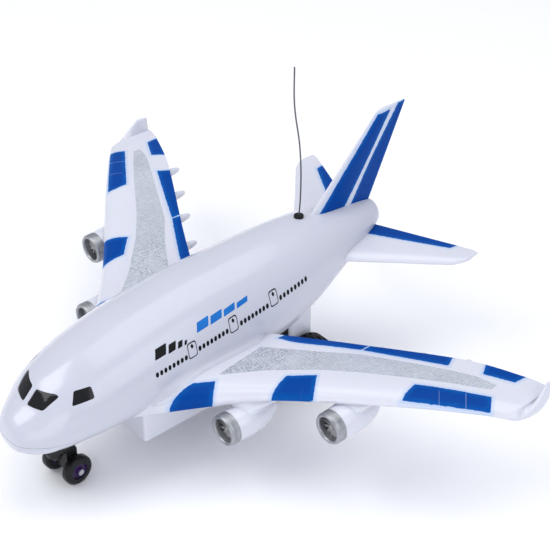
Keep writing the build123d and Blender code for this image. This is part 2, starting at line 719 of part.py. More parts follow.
with BuildPart() as motor_can:
    with BuildSketch(side_plane(MOTOR_BACK, *MOTOR)):
        Circle(MOTOR_RADIUS)
        Rectangle(2 * MOTOR_RADIUS, 2 * MOTOR_FLAT, mode=Mode.INTERSECT)
    extrude(amount=GEAR_ROOM_X - CASE_WALL - 0.1 - MOTOR_BACK)
    chamfer(faces().sort_by(Axis.X)[0].edges(), 0.8)
    cross_rod(MOTOR_BACK - 1, MOTOR_BACK, *MOTOR, 3.0)
    for y in (-5, 5):
        block(MOTOR_BACK - 3, MOTOR_BACK, MOTOR[0] + y - 0.3, MOTOR[0] + y + 0.3, MOTOR[1] - 2, MOTOR[1] + 2)
    cross_rod(-15, GEAR_ROOM_X, *MOTOR, MOTOR_SHAFT_RADIUS + RUNNING, Mode.SUBTRACT)

with BuildPart() as gear_pins:
    for centre in (SHAFT_A, SHAFT_B):
        cross_rod(GEAR_ROOM_X - CASE_WALL, CASE_HALF_WIDTH - 0.4, *centre, GEAR_PIN_RADIUS)

save(axle_gear.part, "axle_gear")
save(compound_gear_b.part, "compound_gear_b")
save(compound_gear_a.part, "compound_gear_a")
save(motor_pinion.part, "motor_pinion")
save(motor_shaft.part, "motor_shaft")
save(motor_can.part, "motor_can")
save(gear_pins.part, "gear_pins")

# ---------------------------------------------------------------- gearbox case and cover
with BuildPart() as gearbox_case:
    block(-CASE_HALF_WIDTH, GEAR_ROOM_X, CASE_FRONT, CASE_BACK, CASE_BOTTOM, CASE_TOP)
    block(
        -CASE_HALF_WIDTH + CASE_WALL,
        GEAR_ROOM_X - CASE_WALL,
        CASE_FRONT + CASE_WALL,
        CASE_BACK - CASE_WALL,
        CASE_BOTTOM + CASE_WALL,
        CASE_TOP + 1,
        Mode.SUBTRACT,
    )
    # cradle ribs under the motor, and a bar that keeps it down
    for x in (-10, 7):
        block(x, x + 2, CASE_FRONT, 44, CASE_BOTTOM, MOTOR[1] - MOTOR_FLAT)
    block(-3, 0, CASE_FRONT, CASE_BACK, MOTOR[1] + MOTOR_FLAT, CASE_TOP)
    # bosses for the cover's screws and for the two floor screws
    for y, z in CASE_SCREWS:
        cross_rod(3, GEAR_ROOM_X, y, z, 2.6)
    for x in FLOOR_SCREWS_X:
        rod(x, FLOOR_SCREWS_Y, CASE_BOTTOM, CASE_BOTTOM + 8, 2.6)
    for y, z in CASE_SCREWS:
        cross_rod(4.5, GEAR_ROOM_X, y, z, 0.9, Mode.SUBTRACT)
    for x in FLOOR_SCREWS_X:
        rod(x, FLOOR_SCREWS_Y, CASE_BOTTOM, CASE_BOTTOM + 7, 1.1, Mode.SUBTRACT)
    wall_x = GEAR_ROOM_X - CASE_WALL - 1
    cross_rod(-CASE_HALF_WIDTH - 1, wall_x, *AXLE, AXLE_RADIUS + RUNNING, Mode.SUBTRACT)
    cross_rod(wall_x, GEAR_ROOM_X, *AXLE, AXLE_RADIUS + 0.5, Mode.SUBTRACT)
    cross_rod(wall_x, GEAR_ROOM_X, *MOTOR, MOTOR_SHAFT_RADIUS + 0.5, Mode.SUBTRACT)
    for centre in (SHAFT_A, SHAFT_B):
        cross_rod(wall_x, GEAR_ROOM_X, *centre, GEAR_PIN_RADIUS, Mode.SUBTRACT)

with BuildPart() as gearbox_cover:
    block(GEAR_ROOM_X, CASE_HALF_WIDTH, CASE_FRONT, CASE_BACK, CASE_BOTTOM, CASE_TOP)
    block(
        GEAR_ROOM_X - 1,
        CASE_HALF_WIDTH - CASE_WALL,
        CASE_FRONT + CASE_WALL,
        CASE_BACK - CASE_WALL,
        CASE_BOTTOM + CASE_WALL,
        CASE_TOP - CASE_WALL,
        Mode.SUBTRACT,
    )
    for y, z in CASE_SCREWS:
        cross_rod(GEAR_ROOM_X, CASE_HALF_WIDTH, y, z, 2.6)
        cross_rod(GEAR_ROOM_X - 1, CASE_HALF_WIDTH, y, z, 0.9, Mode.SUBTRACT)
        cross_rod(CASE_HALF_WIDTH - 1, CASE_HALF_WIDTH, y, z, 1.8, Mode.SUBTRACT)
    cross_rod(GEAR_ROOM_X, CASE_HALF_WIDTH + 1, *AXLE, AXLE_RADIUS + RUNNING, Mode.SUBTRACT)
    for centre in (SHAFT_A, SHAFT_B):
        cross_rod(GEAR_ROOM_X, CASE_HALF_WIDTH - 0.4, *centre, GEAR_PIN_RADIUS, Mode.SUBTRACT)

with BuildPart() as gearbox_screws:
    for y, z in CASE_SCREWS:
        cross_rod(4.5, CASE_HALF_WIDTH, y, z, 0.9)
        cross_rod(CASE_HALF_WIDTH - 1, CASE_HALF_WIDTH, y, z, 1.8)
    for x in FLOOR_SCREWS_X:
        rod(x, FLOOR_SCREWS_Y, POD_BOTTOM - 0.9, CASE_BOTTOM + 7, 1.1)
        rod(x, FLOOR_SCREWS_Y, POD_BOTTOM - 0.9, POD_BOTTOM, 2.1)

save(gearbox_case.part, "gearbox_case")
save(gearbox_cover.part, "gearbox_cover")
save(gearbox_screws.part, "gearbox_screws")

# ---------------------------------------------------------------- drive axle, hubs and tyres
with BuildPart() as drive_axle:
    cross_rod(-WHEEL_OUTER + 1, WHEEL_OUTER - 1, *AXLE, AXLE_RADIUS)
    chamfer(edges().filter_by(GeomType.CIRCLE), 0.3)

with BuildPart() as wheel_hub:
    with BuildSketch(Plane.XY):
        with BuildLine():
            Polyline(
                (WHEEL_INNER, 0),
                (WHEEL_INNER, 3.6),
                (WHEEL_INNER + 4, 3.6),
                (WHEEL_INNER + 4, HUB_RADIUS - 1.6),
                (WHEEL_INNER + 0.5, HUB_RADIUS - 1.6),
                (WHEEL_INNER + 0.5, HUB_RADIUS),
                (WHEEL_OUTER - 0.5, HUB_RADIUS),
                (WHEEL_OUTER - 0.5, HUB_RADIUS - 1.6),
                (WHEEL_OUTER - 3.5, HUB_RADIUS - 2.2),
                (WHEEL_OUTER - 3.5, 4.2),
                (WHEEL_OUTER - 0.6, 3.4),
                (WHEEL_OUTER - 0.2, 0),
                close=True,
            )
        make_face()
    revolve(axis=Axis.X)
    with BuildSketch(side_plane(WHEEL_INNER)):
        with PolarLocations(7.6, 5):
            Circle(2.2)
    extrude(amount=12, mode=Mode.SUBTRACT)
    cross_rod(WHEEL_INNER - 1, WHEEL_OUTER - 1, 0, 0, AXLE_RADIUS, Mode.SUBTRACT)

with BuildPart() as main_tyre:
    with BuildSketch(Plane.XY):
        with BuildLine():
            Polyline(
                (WHEEL_INNER, HUB_RADIUS),
                (WHEEL_OUTER, HUB_RADIUS),
                (WHEEL_OUTER, WHEEL_RADIUS),
                (WHEEL_INNER, WHEEL_RADIUS),
                close=True,
            )
        make_face()
        fillet(vertices().group_by(Axis.Y)[-1], 2.0)
    revolve(axis=Axis.X)
    for x, turn in ((WHEEL_INNER, 0), (WHEEL_OUTER, 180 / TREADS)):
        with BuildSketch(side_plane(x)):
            with PolarLocations(WHEEL_RADIUS, TREADS, start_angle=turn):
                Rectangle(2.2, 1.5)
        extrude(amount=4, both=True, mode=Mode.SUBTRACT)

at_axle = Pos(0, *AXLE)
save(drive_axle.part, "drive_axle")
save_pair(at_axle * wheel_hub.part, "wheel_hub")
save_pair(at_axle * main_tyre.part, "main_tyre")

# ---------------------------------------------------------------- batteries, contacts and door
contact_x = CELL_HALF + 1.6
with BuildPart() as battery_contacts:
    for i in range(CELLS):
        y = CELL_START + i * CELL_PITCH
        side = 1 if i % 2 == 0 else -1
        for x0, x1 in ((contact_x, door_half), (-door_half, -contact_x)):
            block(x0, x1, y - 5.5, y + 5.5, CELL_Z - 5, CELL_Z + 6)
        # the flat end of each cell sits on a coned spring
        with Locations(Pos(-side * (contact_x - 0.8), y, CELL_Z) * Rot(0, -side * 90, 0)):
            Cone(2.2, 3.8, 1.6)
            Cone(1.6, 3.2, 1.6, mode=Mode.SUBTRACT)

for i in range(CELLS):
    y = CELL_START + i * CELL_PITCH
    side = 1 if i % 2 == 0 else -1
    with BuildPart() as cell:
        cross_rod(-CELL_HALF, CELL_HALF, y, CELL_Z, CELL_RADIUS)
        fillet(edges().filter_by(GeomType.CIRCLE), 0.6)
        cross_rod(*sorted((side * CELL_HALF - side, side * contact_x)), y, CELL_Z, 2.7)
    save(cell.part, f"battery_cell_{i + 1}")

with BuildPart() as battery_door:
    block(
        -door_half + DOOR_GAP,
        door_half - DOOR_GAP,
        door_front + DOOR_GAP,
        DOOR_BACK - DOOR_GAP,
        BELLY_BOTTOM,
        BELLY_BOTTOM + DOOR_THICKNESS,
    )
    for x in (-12, 12):
        block(x - 1, x + 1, door_front + 2, BAY_BACK - 3, BELLY_BOTTOM + 1, CELL_Z - CELL_RADIUS - 0.1)
    for x in (-18, -14, -10, 10, 14, 18):
        block(x - 0.6, x + 0.6, -24, -16, BELLY_BOTTOM - 0.5, BELLY_BOTTOM + 0.3, Mode.SUBTRACT)
    rod(0, DOOR_SCREW_Y, BELLY_BOTTOM - 1, BELLY_BOTTOM + 2, DOOR_SCREW_RADIUS, Mode.SUBTRACT)
    rod(0, DOOR_SCREW_Y, BELLY_BOTTOM - 1, BELLY_BOTTOM + 0.9, 2.3, Mode.SUBTRACT)

with BuildPart() as door_screw:
    rod(0, DOOR_SCREW_Y, BELLY_BOTTOM, BELLY_BOTTOM + 9, DOOR_SCREW_RADIUS)
    rod(0, DOOR_SCREW_Y, BELLY_BOTTOM, BELLY_BOTTOM + 0.9, 2.3)
    for along, across in ((1.5, 0.3), (0.3, 1.5)):
        block(
            -along,
            along,
            DOOR_SCREW_Y - across,
            DOOR_SCREW_Y + across,
            BELLY_BOTTOM - 1,
            BELLY_BOTTOM + 0.6,
            Mode.SUBTRACT,
        )

save(battery_contacts.part, "battery_contacts")
save(battery_door.part, "battery_door")
save(door_screw.part, "door_screw")

# ---------------------------------------------------------------- power switch
floor = BELLY_BOTTOM + WALL
knob_x = -SWITCH_TRAVEL / 2
with BuildPart() as switch_body:
    block(-9, 9, SWITCH_Y - 4.5, SWITCH_Y + 4.5, floor, floor + 6)
    block(-7, 7, SWITCH_Y - 3, SWITCH_Y + 3, floor - 1, floor + 4, Mode.SUBTRACT)
    for x in (-4, 0, 4):
        block(x - 0.4, x + 0.4, SWITCH_Y - 1, SWITCH_Y + 1, floor + 6, floor + 9)

with BuildPart() as switch_slider:
    block(knob_x - 3, knob_x + 3, SWITCH_Y - 2.5, SWITCH_Y + 2.5, floor + 0.2, floor + 3.4)
    block(knob_x - 1.8, knob_x + 1.8, SWITCH_Y - 1.6, SWITCH_Y + 1.6, floor - 3, floor + 0.4)
    for x in (knob_x - 1.0, knob_x, knob_x + 1.0):
        block(x - 0.2, x + 0.2, SWITCH_Y - 2, SWITCH_Y + 2, floor - 4, floor - 2.7, Mode.SUBTRACT)

save(switch_body.part, "switch_body")
save(switch_slider.part, "switch_slider")

# ---------------------------------------------------------------- circuit board and shell screws
with BuildPart() as circuit_board:
    block(-20, 20, -70, -26, BOARD_Z, BOARD_Z + 1.6)

board_top = BOARD_Z + 1.6
with BuildPart() as board_components:
    block(-5, 5, -56, -46, board_top, board_top + 2)
    block(8, 16, -62, -56, board_top, board_top + 3)
    block(-16, -8, -64, -60, board_top, board_top + 4)
    block(-17, -9, -38, -31, board_top, board_top + 5)
    rod(12, -36, board_top, board_top + 8, 3.2)
    rod(4, -33, board_top, board_top + 6, 2.2)

with BuildPart() as shell_screws:
    for x, y in SHELL_SCREWS:
        rod(x, y, 38, 40, 2.4)
        rod(x, y, 40, 56, 1.2)
        block(x - 1.6, x + 1.6, y - 0.4, y + 0.4, 37, 38.8, Mode.SUBTRACT)
        block(x - 0.4, x + 0.4, y - 1.6, y + 1.6, 37, 38.8, Mode.SUBTRACT)

save(circuit_board.part, "circuit_board")
save(board_components.part, "board_components")
save(shell_screws.part, "shell_screws")
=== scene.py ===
"""Looks of the toy airplane: smooth shells, painted panels, crystal lenses, engines and materials.

Outlines and sizes are in millimetres in the row frame and are scaled to metres by MM.
"""
import json
import math
import bmesh
import bpy
from mathutils import Matrix, Vector


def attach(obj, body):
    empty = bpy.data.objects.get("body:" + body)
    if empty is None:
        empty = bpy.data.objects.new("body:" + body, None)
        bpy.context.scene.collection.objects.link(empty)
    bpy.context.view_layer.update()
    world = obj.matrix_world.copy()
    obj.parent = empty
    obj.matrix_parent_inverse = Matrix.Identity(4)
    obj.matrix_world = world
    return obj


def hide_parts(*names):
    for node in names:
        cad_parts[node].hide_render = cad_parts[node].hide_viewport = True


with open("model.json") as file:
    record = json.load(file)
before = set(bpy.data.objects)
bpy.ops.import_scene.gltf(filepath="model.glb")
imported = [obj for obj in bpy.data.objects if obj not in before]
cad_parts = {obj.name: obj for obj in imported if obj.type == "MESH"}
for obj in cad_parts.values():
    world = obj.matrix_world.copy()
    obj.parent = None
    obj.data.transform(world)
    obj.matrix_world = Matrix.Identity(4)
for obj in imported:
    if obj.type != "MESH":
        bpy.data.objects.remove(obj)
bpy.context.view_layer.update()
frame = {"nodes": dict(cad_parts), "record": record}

NODES = frame["nodes"]
SLOT_OF = {entry["node"]: entry["material_slot"] for entry in frame["record"]["subparts"]}
MM = 0.001
SIDES = (("port", 1), ("starboard", -1))
ABOVE = (0.0, 0.0, 9999.0)
BELOW = (0.0, 0.0, -9999.0)
IN_COCKPIT = (0.0, -60.0, 50.0)
IN_CABIN = (0.0, -20.0, 75.0)
MERGE_DISTANCE = 1e-6  # in metres

# ---- outlines
SEAM_Z = 51.6
SEAM_GAP = 0.10
BELLY_SHARE = 0.45
# fuselage stations from nose to tail: (y, top z, bottom z, half width)
STATIONS = [
    (-158.4, 52.6, 52.2, 0.0),
    (-157.3, 60.0, 45.0, 9.5),
    (-154.5, 63.5, 42.0, 14.0),
    (-144.0, 70.5, 38.0, 23.0),
    (-136.0, 78.5, 37.0, 27.0),
    (-127.0, 84.5, 36.5, 30.0),
    (-97.0, 95.5, 36.0, 35.0),
    (-67.0, 102.0, 36.0, 36.5),
    (-17.0, 106.5, 36.0, 36.5),
    (28.0, 107.0, 38.0, 35.0),
    (56.0, 106.5, 47.0, 31.5),
    (80.0, 104.5, 58.0, 26.0),
    (104.0, 101.0, 68.5, 19.0),
    (120.0, 98.0, 75.5, 13.5),
    (129.0, 95.0, 79.5, 9.0),
    (132.4, 87.4, 87.0, 0.0),
]
# cockpit panes: (x, z) from the front, (y, z) from the side
WINDSCREEN = [(1.8, 70.8), (13.4, 71.2), (16.4, 78.2), (13.8, 79.1), (1.8, 78.2)]
SIDE_PANE = [(-126.9, 74.1), (-113.8, 75.8), (-113.0, 81.5), (-122.5, 80.4)]

# wing sections: (x, middle z, tilt in degrees, leading edge y, trailing edge y, thickness)
WING = [
    (28.0, 53.4, 0.0, -90.0, 6.0, 22.2),
    (57.0, 59.9, 0.0, -57.0, 21.0, 18.2),
    (85.0, 66.3, 0.0, -30.0, 36.0, 13.4),
    (143.0, 74.0, 0.0, 14.0, 69.0, 10.0),
    (176.0, 75.25, 0.0, 40.0, 84.0, 7.5),
    (188.0, 74.7, 1.0, 50.0, 88.3, 6.9),
    (194.6, 74.0, 24.0, 56.0, 89.0, 8.0),
    (196.4, 74.2, 55.0, 63.5, 89.3, 6.6),
    (197.1, 79.0, 84.0, 71.5, 89.6, 4.4),
    (196.0, 86.5, 96.0, 80.0, 88.8, 2.4),
]
TAILPLANE = [
    (4.0, 79.0, 0.0, 62.5, 121.0, 8.0),
    (40.0, 80.5, 0.0, 97.0, 135.5, 6.6),
    (71.0, 82.0, 0.0, 125.5, 147.5, 5.4),
    (76.6, 82.7, 0.0, 131.0, 149.0, 4.4),
    (79.4, 83.2, 0.0, 137.0, 149.0, 3.0),
]
# crystal insert: its front edge and its back edge, each from the root outwards
LENS_FRONT = [
    (50.2, -42.0), (66.8, -21.5), (90.5, 1.4), (110.2, 16.7), (142.8, 38.7), (161.7, 52.0), (173.0, 60.8),
]
LENS_BACK = [(45.0, -4.0), (75.6, 14.9), (96.1, 30.1), (130.9, 48.0), (159.8, 62.5), (172.8, 66.0)]
# fin sections: (z, leading edge y, trailing edge y, thickness)
FIN = [(88.0, 59.0, 122.6, 7.0), (124.5, 95.5, 139.8, 4.8), (159.6, 130.6, 156.1, 2.8)]

# engines: (name, x, intake y, centre z, height of the wing above the centre, sweep)
ENGINES = [("inner", 71.0, -56.0, 45.5, 15.0, 0.96), ("outer", 119.0, -17.0, 56.8, 12.4, 0.76)]

# blue panels as convex outlines, seen from above on the wings and tailplane, from the side on the fin
WING_PANELS = [
    [(42.6, -64.0), (42.8, -77.0), (47.5, -75.0), (61.5, -55.5), (52.8, -45.7), (43.8, -56.0)],
    [(81.2, -15.0), (83.2, -25.0), (85.2, -30.5), (104.6, -14.8), (93.9, -2.3)],
    [(140.9, 31.0), (142.2, 22.0), (144.2, 17.4), (161.2, 29.9), (184.4, 48.0), (177.4, 56.0)],
    [(44.9, 9.6), (55.5, 12.3), (64.7, 16.5), (80.4, 26.1), (93.2, 33.4), (92.0, 60.0), (44.5, 60.0)],
    [(94.0, 33.9), (111.5, 42.6), (127.4, 50.2), (141.6, 57.9), (134.0, 73.0), (92.8, 60.0)],
    [(160.6, 67.1), (177.3, 75.9), (178.2, 90.0), (155.0, 75.5)],
]
WING_GAPS = [
    [(95.0, -14.9), (95.6, -14.6), (99.6, -20.0), (99.0, -20.3)],
    [(153.6, 37.2), (154.1, 37.8), (163.0, 28.9), (162.4, 28.3)],
    [(165.1, 47.1), (165.7, 47.7), (175.0, 38.3), (174.4, 37.7)],
]
TAILPLANE_PANELS = [[(10.5, 108.5), (64.0, 139.2), (65.5, 150.0), (4.0, 124.0)]]
FIN_PANELS = [
    [(74.1, 96.0), (98.0, 90.0), (122.0, 126.8), (144.8, 158.6), (131.6, 158.4)],
    [(103.2, 90.0), (124.0, 90.0), (158.5, 160.3), (149.4, 160.3), (126.8, 129.0)],
]


# ---- helpers
def mix(a, b, t):
    """Blends two numbers or two equal rows."""
    if isinstance(a, (int, float)):
        return a + (b - a) * t
    return tuple(p + (q - p) * t for p, q in zip(a, b))


SOFTENING = 6  # times the resampled rows are averaged with their neighbours


def monotone(keys, rows, count):
    """Resamples rows at count even steps of key, on cubics that never overshoot, then softens them."""
    slopes = []
    for column in zip(*rows):
        rise = [(column[i + 1] - column[i]) / (keys[i + 1] - keys[i]) for i in range(len(keys) - 1)]
        inner = [2 * p * q / (p + q) if p * q > 0 else 0.0 for p, q in zip(rise, rise[1:])]
        slopes.append([rise[0], *inner, rise[-1]])
    made = []
    for step in range(count + 1):
        key = mix(keys[0], keys[-1], step / count)
        i = max(j for j in range(len(keys) - 1) if keys[j] <= key + 1e-9)
        span = keys[i + 1] - keys[i]
        t = (key - keys[i]) / span
        row = []
        for column, slope in enumerate(slopes):
            start, end = rows[i][column], rows[i + 1][column]
            bend = t * (1 - t) * ((1 - t) * slope[i] - t * slope[i + 1]) * span
            row.append(start + t * t * (3 - 2 * t) * (end - start) + bend)
        made.append(tuple(row))
    for _ in range(SOFTENING):
        middle = [
            tuple((p + 2 * q + r) / 4 for p, q, r in zip(made[i - 1], made[i], made[i + 1]))
            for i in range(1, len(made) - 1)
        ]
        made = [made[0], *middle, made[-1]]
    return made


def catmull(rows, steps):
    """Rows with steps - 1 more between each two, on Catmull-Rom curves."""
    made = []
    for i in range(len(rows) - 1):
        a, b, c, d = rows[max(i - 1, 0)], rows[i], rows[i + 1], rows[min(i + 2, len(rows) - 1)]
        for step in range(steps):
            t = step / steps
            made.append(
                tuple(
                    q + 0.5 * t * (r - p + t * (2 * p - 5 * q + 4 * r - s + t * (3 * (q - r) + s - p)))
                    for p, q, r, s in zip(a, b, c, d)
                )
            )
    return [*made, rows[-1]]


def rounded(outline, radius, steps=5):
    """An outline with each corner replaced by a short curve that starts radius from it."""
    made = []
    for i, corner in enumerate(outline):
        before, after = Vector(outline[i - 1]), Vector(outline[(i + 1) % len(outline)])
        corner = Vector(corner)
        start = corner + (before - corner).normalized() * min(radius, (before - corner).length * 0.45)
        end = corner + (after - corner).normalized() * min(radius, (after - corner).length * 0.45)
        for step in range(steps + 1):
            t = step / steps
            made.append(tuple(start * (1 - t) ** 2 + corner * (2 * t * (1 - t)) + end * t * t))
    return made


def stepped(outline, length):
    """An outline with points added so that no edge is longer than length."""
    made = []
    for i, start in enumerate(outline):
        end = outline[(i + 1) % len(outline)]
        parts = max(1, math.ceil((Vector(end) - Vector(start)).length / length))
        made += [mix(start, end, part / parts) for part in range(parts)]
    return made


def placed(name, data):
    """A new object in the scene."""
    made = bpy.data.objects.new(name, data)
    bpy.context.scene.collection.objects.link(made)
    return made


def loose(name, points, faces, away=None):
    """A mesh object from points in millimetres, with doubled points merged and normals made consistent.

    An open skin is turned to face away from the given point.
    """
    mesh = bpy.data.meshes.new(name)
    mesh.from_pydata([tuple(c * MM for c in p) for p in points], [], faces)
    mesh.update()
    made = placed(name, mesh)
    edit = bmesh.new()
    edit.from_mesh(mesh)
    bmesh.ops.remove_doubles(edit, verts=edit.verts, dist=MERGE_DISTANCE)
    bmesh.ops.recalc_face_normals(edit, faces=edit.faces)
    if away:
        point = Vector(away) * MM
        outward = 0.0
        for face in edit.faces:
            outward += face.normal.dot((face.calc_center_median() - point).normalized()) * face.calc_area()
        if outward < 0:
            bmesh.ops.reverse_faces(edit, faces=edit.faces)
    edit.to_mesh(mesh)
    edit.free()
    return made


def piece(name, points, faces, slot="white_shell", sharp=40, away=None, finish=None):
    """A piece on the airframe with a slot's finish, or with a painted variant of it."""
    made = loose(name, points, faces, away)
    smooth(made.data, sharp)
    made.data.materials.append(finish or MATERIALS[slot])
    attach(made, "airframe")
    return made


def smooth(mesh, sharp):
    """Smooth shading with hard edges where the faces turn by more than sharp degrees."""
    mesh.polygons.foreach_set("use_smooth", [True] * len(mesh.polygons))
    mesh.set_sharp_from_angle(angle=math.radians(sharp))


def skin(rings, closed=True, ends=(False, False)):
    """Points and faces of a skin over rings of equal length, with flat ends if asked."""
    count = len(rings[0])
    points = [p for ring in rings for p in ring]
    faces = []
    for i in range(len(rings) - 1):
        for j in range(count if closed else count - 1):
            k = (j + 1) % count
            faces.append((i * count + j, i * count + k, (i + 1) * count + k, (i + 1) * count + j))
    if ends[0]:
        faces.append(tuple(range(count)))
    if ends[1]:
        faces.append(tuple(range(len(points) - count, len(points))))
    return points, faces


def lathe(profile, centre, axis="y", segments=72):
    """Points and faces of a profile of (place on the axis, radius) turned about an axis through centre."""
    rings = []
    for far, radius in profile:
        ring = []
        for i in range(segments):
            a = 2 * math.pi * i / segments
            c, s = radius * math.cos(a), radius * math.sin(a)
            offset = {"x": (far, c, s), "y": (c, far, s), "z": (c, s, far)}[axis]
            ring.append(tuple(p + q for p, q in zip(centre, offset)))
        rings.append(ring)
    return skin(rings)


def patch(outline, surface, layers, rings=8):
    """A plate on a surface. layers are (scale about the middle, lift) from its rim to its flat top."""
    middle = mix(outline[0], outline[len(outline) // 2], 0.5)
    made = []
    inner_scale, inner_lift = layers[-1]
    steps = [*layers, *[(inner_scale * (1 - i / rings), inner_lift) for i in range(1, rings + 1)]]
    for scale, lift in steps:
        made.append([surface(*mix(middle, p, scale), lift) for p in outline])
    return skin(made)


def along(line, share):
    """The point at a share of the length of a line of points."""
    lengths = [(Vector(b) - Vector(a)).length for a, b in zip(line, line[1:])]
    left = share * sum(lengths)
    for a, b, length in zip(line, line[1:], lengths):
        if left <= length:
            return mix(a, b, left / length)
        left -= length
    return line[-1]


RIM_ALONG = 0.004  # how far a ribbon's rim steps in, as shares of its length
RIM_ACROSS = 0.02  # and of its width


def ribbon(front, back, surface, lifts, columns=90, rows=14):
    """A plate on a surface between two lines. lifts run from its rim to its flat top."""
    rings = []
    rim = len(lifts) - 1
    last_column = columns + 2 * rim
    last_row = rows + 2 * rim
    for i in range(last_column + 1):
        u = max(0.0, min(1.0, (i - rim) / columns))
        if 0 < i < last_column:
            u = mix(RIM_ALONG, 1 - RIM_ALONG, u)
        start, end = along(front, u), along(back, u)
        ring = []
        for j in range(last_row + 1):
            v = max(0.0, min(1.0, (j - rim) / rows))
            inset = RIM_ACROSS if 0 < j < last_row else 0.0
            lift = lifts[min(i, j, last_column - i, last_row - j, rim)]
            ring.append(surface(*mix(start, end, mix(inset, 1 - inset, v)), lift))
        rings.append(ring)
    return skin(rings, closed=False)


def sided(shape, side):
    """Points and faces made for the port side, reflected for the starboard side."""
    points, faces = shape
    if side < 0:
        points = [(-x, y, z) for x, y, z in points]
    return points, faces


def cut(target, *cutters):
    """Takes the cutters' shapes out of a piece, for good."""
    for cutter in cutters:
        change = target.modifiers.new("cut", "BOOLEAN")
        change.object = cutter
        change.solver = "EXACT"
    bpy.context.view_layer.update()
    done = bpy.data.meshes.new_from_object(target.evaluated_get(bpy.context.evaluated_depsgraph_get()))
    target.modifiers.clear()
    target.data = done
    for cutter in cutters:
        bpy.data.objects.remove(cutter)


def box_mesh(x0, x1, y0, y1, z0, z1):
    """Points and faces of a plain box."""
    corners = ((x0, y0), (x1, y0), (x1, y1), (x0, y1))
    return skin([[(x, y, z) for x, y in corners] for z in (z0, z1)], ends=(True, True))


def cutter(points, faces):
    """A loose closed mesh for cutting."""
    return loose("cutter", points, faces)


# ---- materials
PANEL_CORNER = 1.2  # how far the corners of the painted panels are softened


class Nodes:
    """A material's node tree, with short calls for the nodes used here."""

    def __init__(self, name):
        self.material = bpy.data.materials.new(name)
        self.material.use_nodes = True
        self.tree = self.material.node_tree
        self.shader = self.tree.nodes["Principled BSDF"]
        self.place = self.new("TexCoord").outputs["Object"]

    def new(self, kind):
        """A new shader node of a kind."""
        return self.tree.nodes.new("ShaderNode" + kind)

    def link(self, value, socket):
        """Feeds a socket from another socket, or sets it to a constant."""
        if isinstance(value, bpy.types.NodeSocket):
            self.tree.links.new(value, socket)
        else:
            socket.default_value = value

    def set(self, **values):
        """Sets the shader's inputs by name, with _ for a space."""
        for name, value in values.items():
            self.link(value, self.shader.inputs[name.replace("_", " ")])

    def fill(self, kind, values, operation=None):
        """A new node of a kind with its first inputs set to values."""
        node = self.new(kind)
        if operation:
            node.operation = operation
        for value, socket in zip(values, node.inputs):
            self.link(value, socket)
        return node.outputs

    def axes(self):
        """The object's own X, Y and Z."""
        return self.fill("SeparateXYZ", [self.place])

    def math(self, operation, *values):
        return self.fill("Math", values, operation)[0]

    def times(self, a, b):
        return self.math("MULTIPLY", a, b)

    def vector(self, operation, *values):
        made = self.fill("VectorMath", values, operation)
        return made["Value" if operation in ("DOT_PRODUCT", "LENGTH") else "Vector"]

    def noise(self, scale, detail=3.0, place=None):
        node = self.new("TexNoise")
        self.link(place or self.place, node.inputs["Vector"])
        node.inputs["Scale"].default_value = scale
        node.inputs["Detail"].default_value = detail
        return node.outputs["Fac"]

    def cells(self, scale, output):
        node = self.new("TexVoronoi")
        self.link(self.place, node.inputs["Vector"])
        node.inputs["Scale"].default_value = scale
        return node.outputs[output]

    def ramp(self, value, low, high, start=0.0, end=1.0):
        """Value mapped from low..high to start..end, and held beyond them."""
        return self.fill("MapRange", (value, low, high, start, end))[0]

    def varied(self, scale, low, high):
        """A value that wanders between low and high over the surface."""
        return self.ramp(self.noise(scale), 0.3, 0.7, low, high)

    def blend(self, factor, a, b):
        node = self.new("Mix")
        node.data_type = "RGBA"
        self.link(factor, node.inputs[0])
        self.link(a, node.inputs[6])
        self.link(b, node.inputs[7])
        return node.outputs[2]

    def bump(self, height, strength, distance):
        node = self.new("Bump")
        node.inputs["Strength"].default_value = strength
        node.inputs["Distance"].default_value = distance
        self.link(height, node.inputs["Height"])
        return node.outputs["Normal"]

    def outside(self, plane_point, outlines):
        """How far a point lies outside the nearest of some convex outlines, in millimetres."""
        nearest = None
        for outline in outlines:
            middle = sum((Vector(p) for p in outline), Vector((0, 0))) / len(outline)
            farthest = None
            for start, end in zip(outline, [*outline[1:], outline[0]]):
                edge_line = (Vector(end) - Vector(start)).normalized()
                out = Vector((edge_line.y, -edge_line.x))
                if out.dot(Vector(start) - middle) < 0:
                    out = -out
                reach = self.vector("DOT_PRODUCT", plane_point, (out.x, out.y, 0.0))
                edge = self.math("SUBTRACT", reach, out.dot(Vector(start)))
                if farthest is None:
                    farthest = edge
                else:
                    farthest = self.math("SMOOTH_MAX", farthest, edge, PANEL_CORNER)
            nearest = farthest if nearest is None else self.math("MINIMUM", nearest, farthest)
        return nearest

    def plane_point(self, horizontal, vertical):
        """A vector of two of the object's own axes in millimetres, the first without its sign."""
        parts = self.axes()
        across = self.times(self.math("ABSOLUTE", parts[horizontal]), 1 / MM)
        return self.fill("CombineXYZ", [across, self.times(parts[vertical], 1 / MM)])[0]


WHITE = (0.56, 0.57, 0.655, 1.0)
WHITE_TONE = (0.54, 0.555, 0.64, 1.0)
# the next two tones are a lighter copy of the white plastic, painted lighter so that the wings, tail,
# engines, belly and pod look more brightly lit than the fuselage
WHITE_PAINTED_LIGHTER = (0.66, 0.67, 0.75, 1.0)
WHITE_TONE_PAINTED_LIGHTER = (0.635, 0.65, 0.73, 1.0)
WHITE_SPECK = (0.50, 0.51, 0.57, 1.0)
HALO = (0.30, 0.48, 0.78, 1.0)
BLUE = (0.0005, 0.052, 0.29, 1.0)
BLUE_EDGE = (0.003, 0.13, 0.46, 1.0)
DECAL_GREY = (0.010, 0.010, 0.012, 1.0)


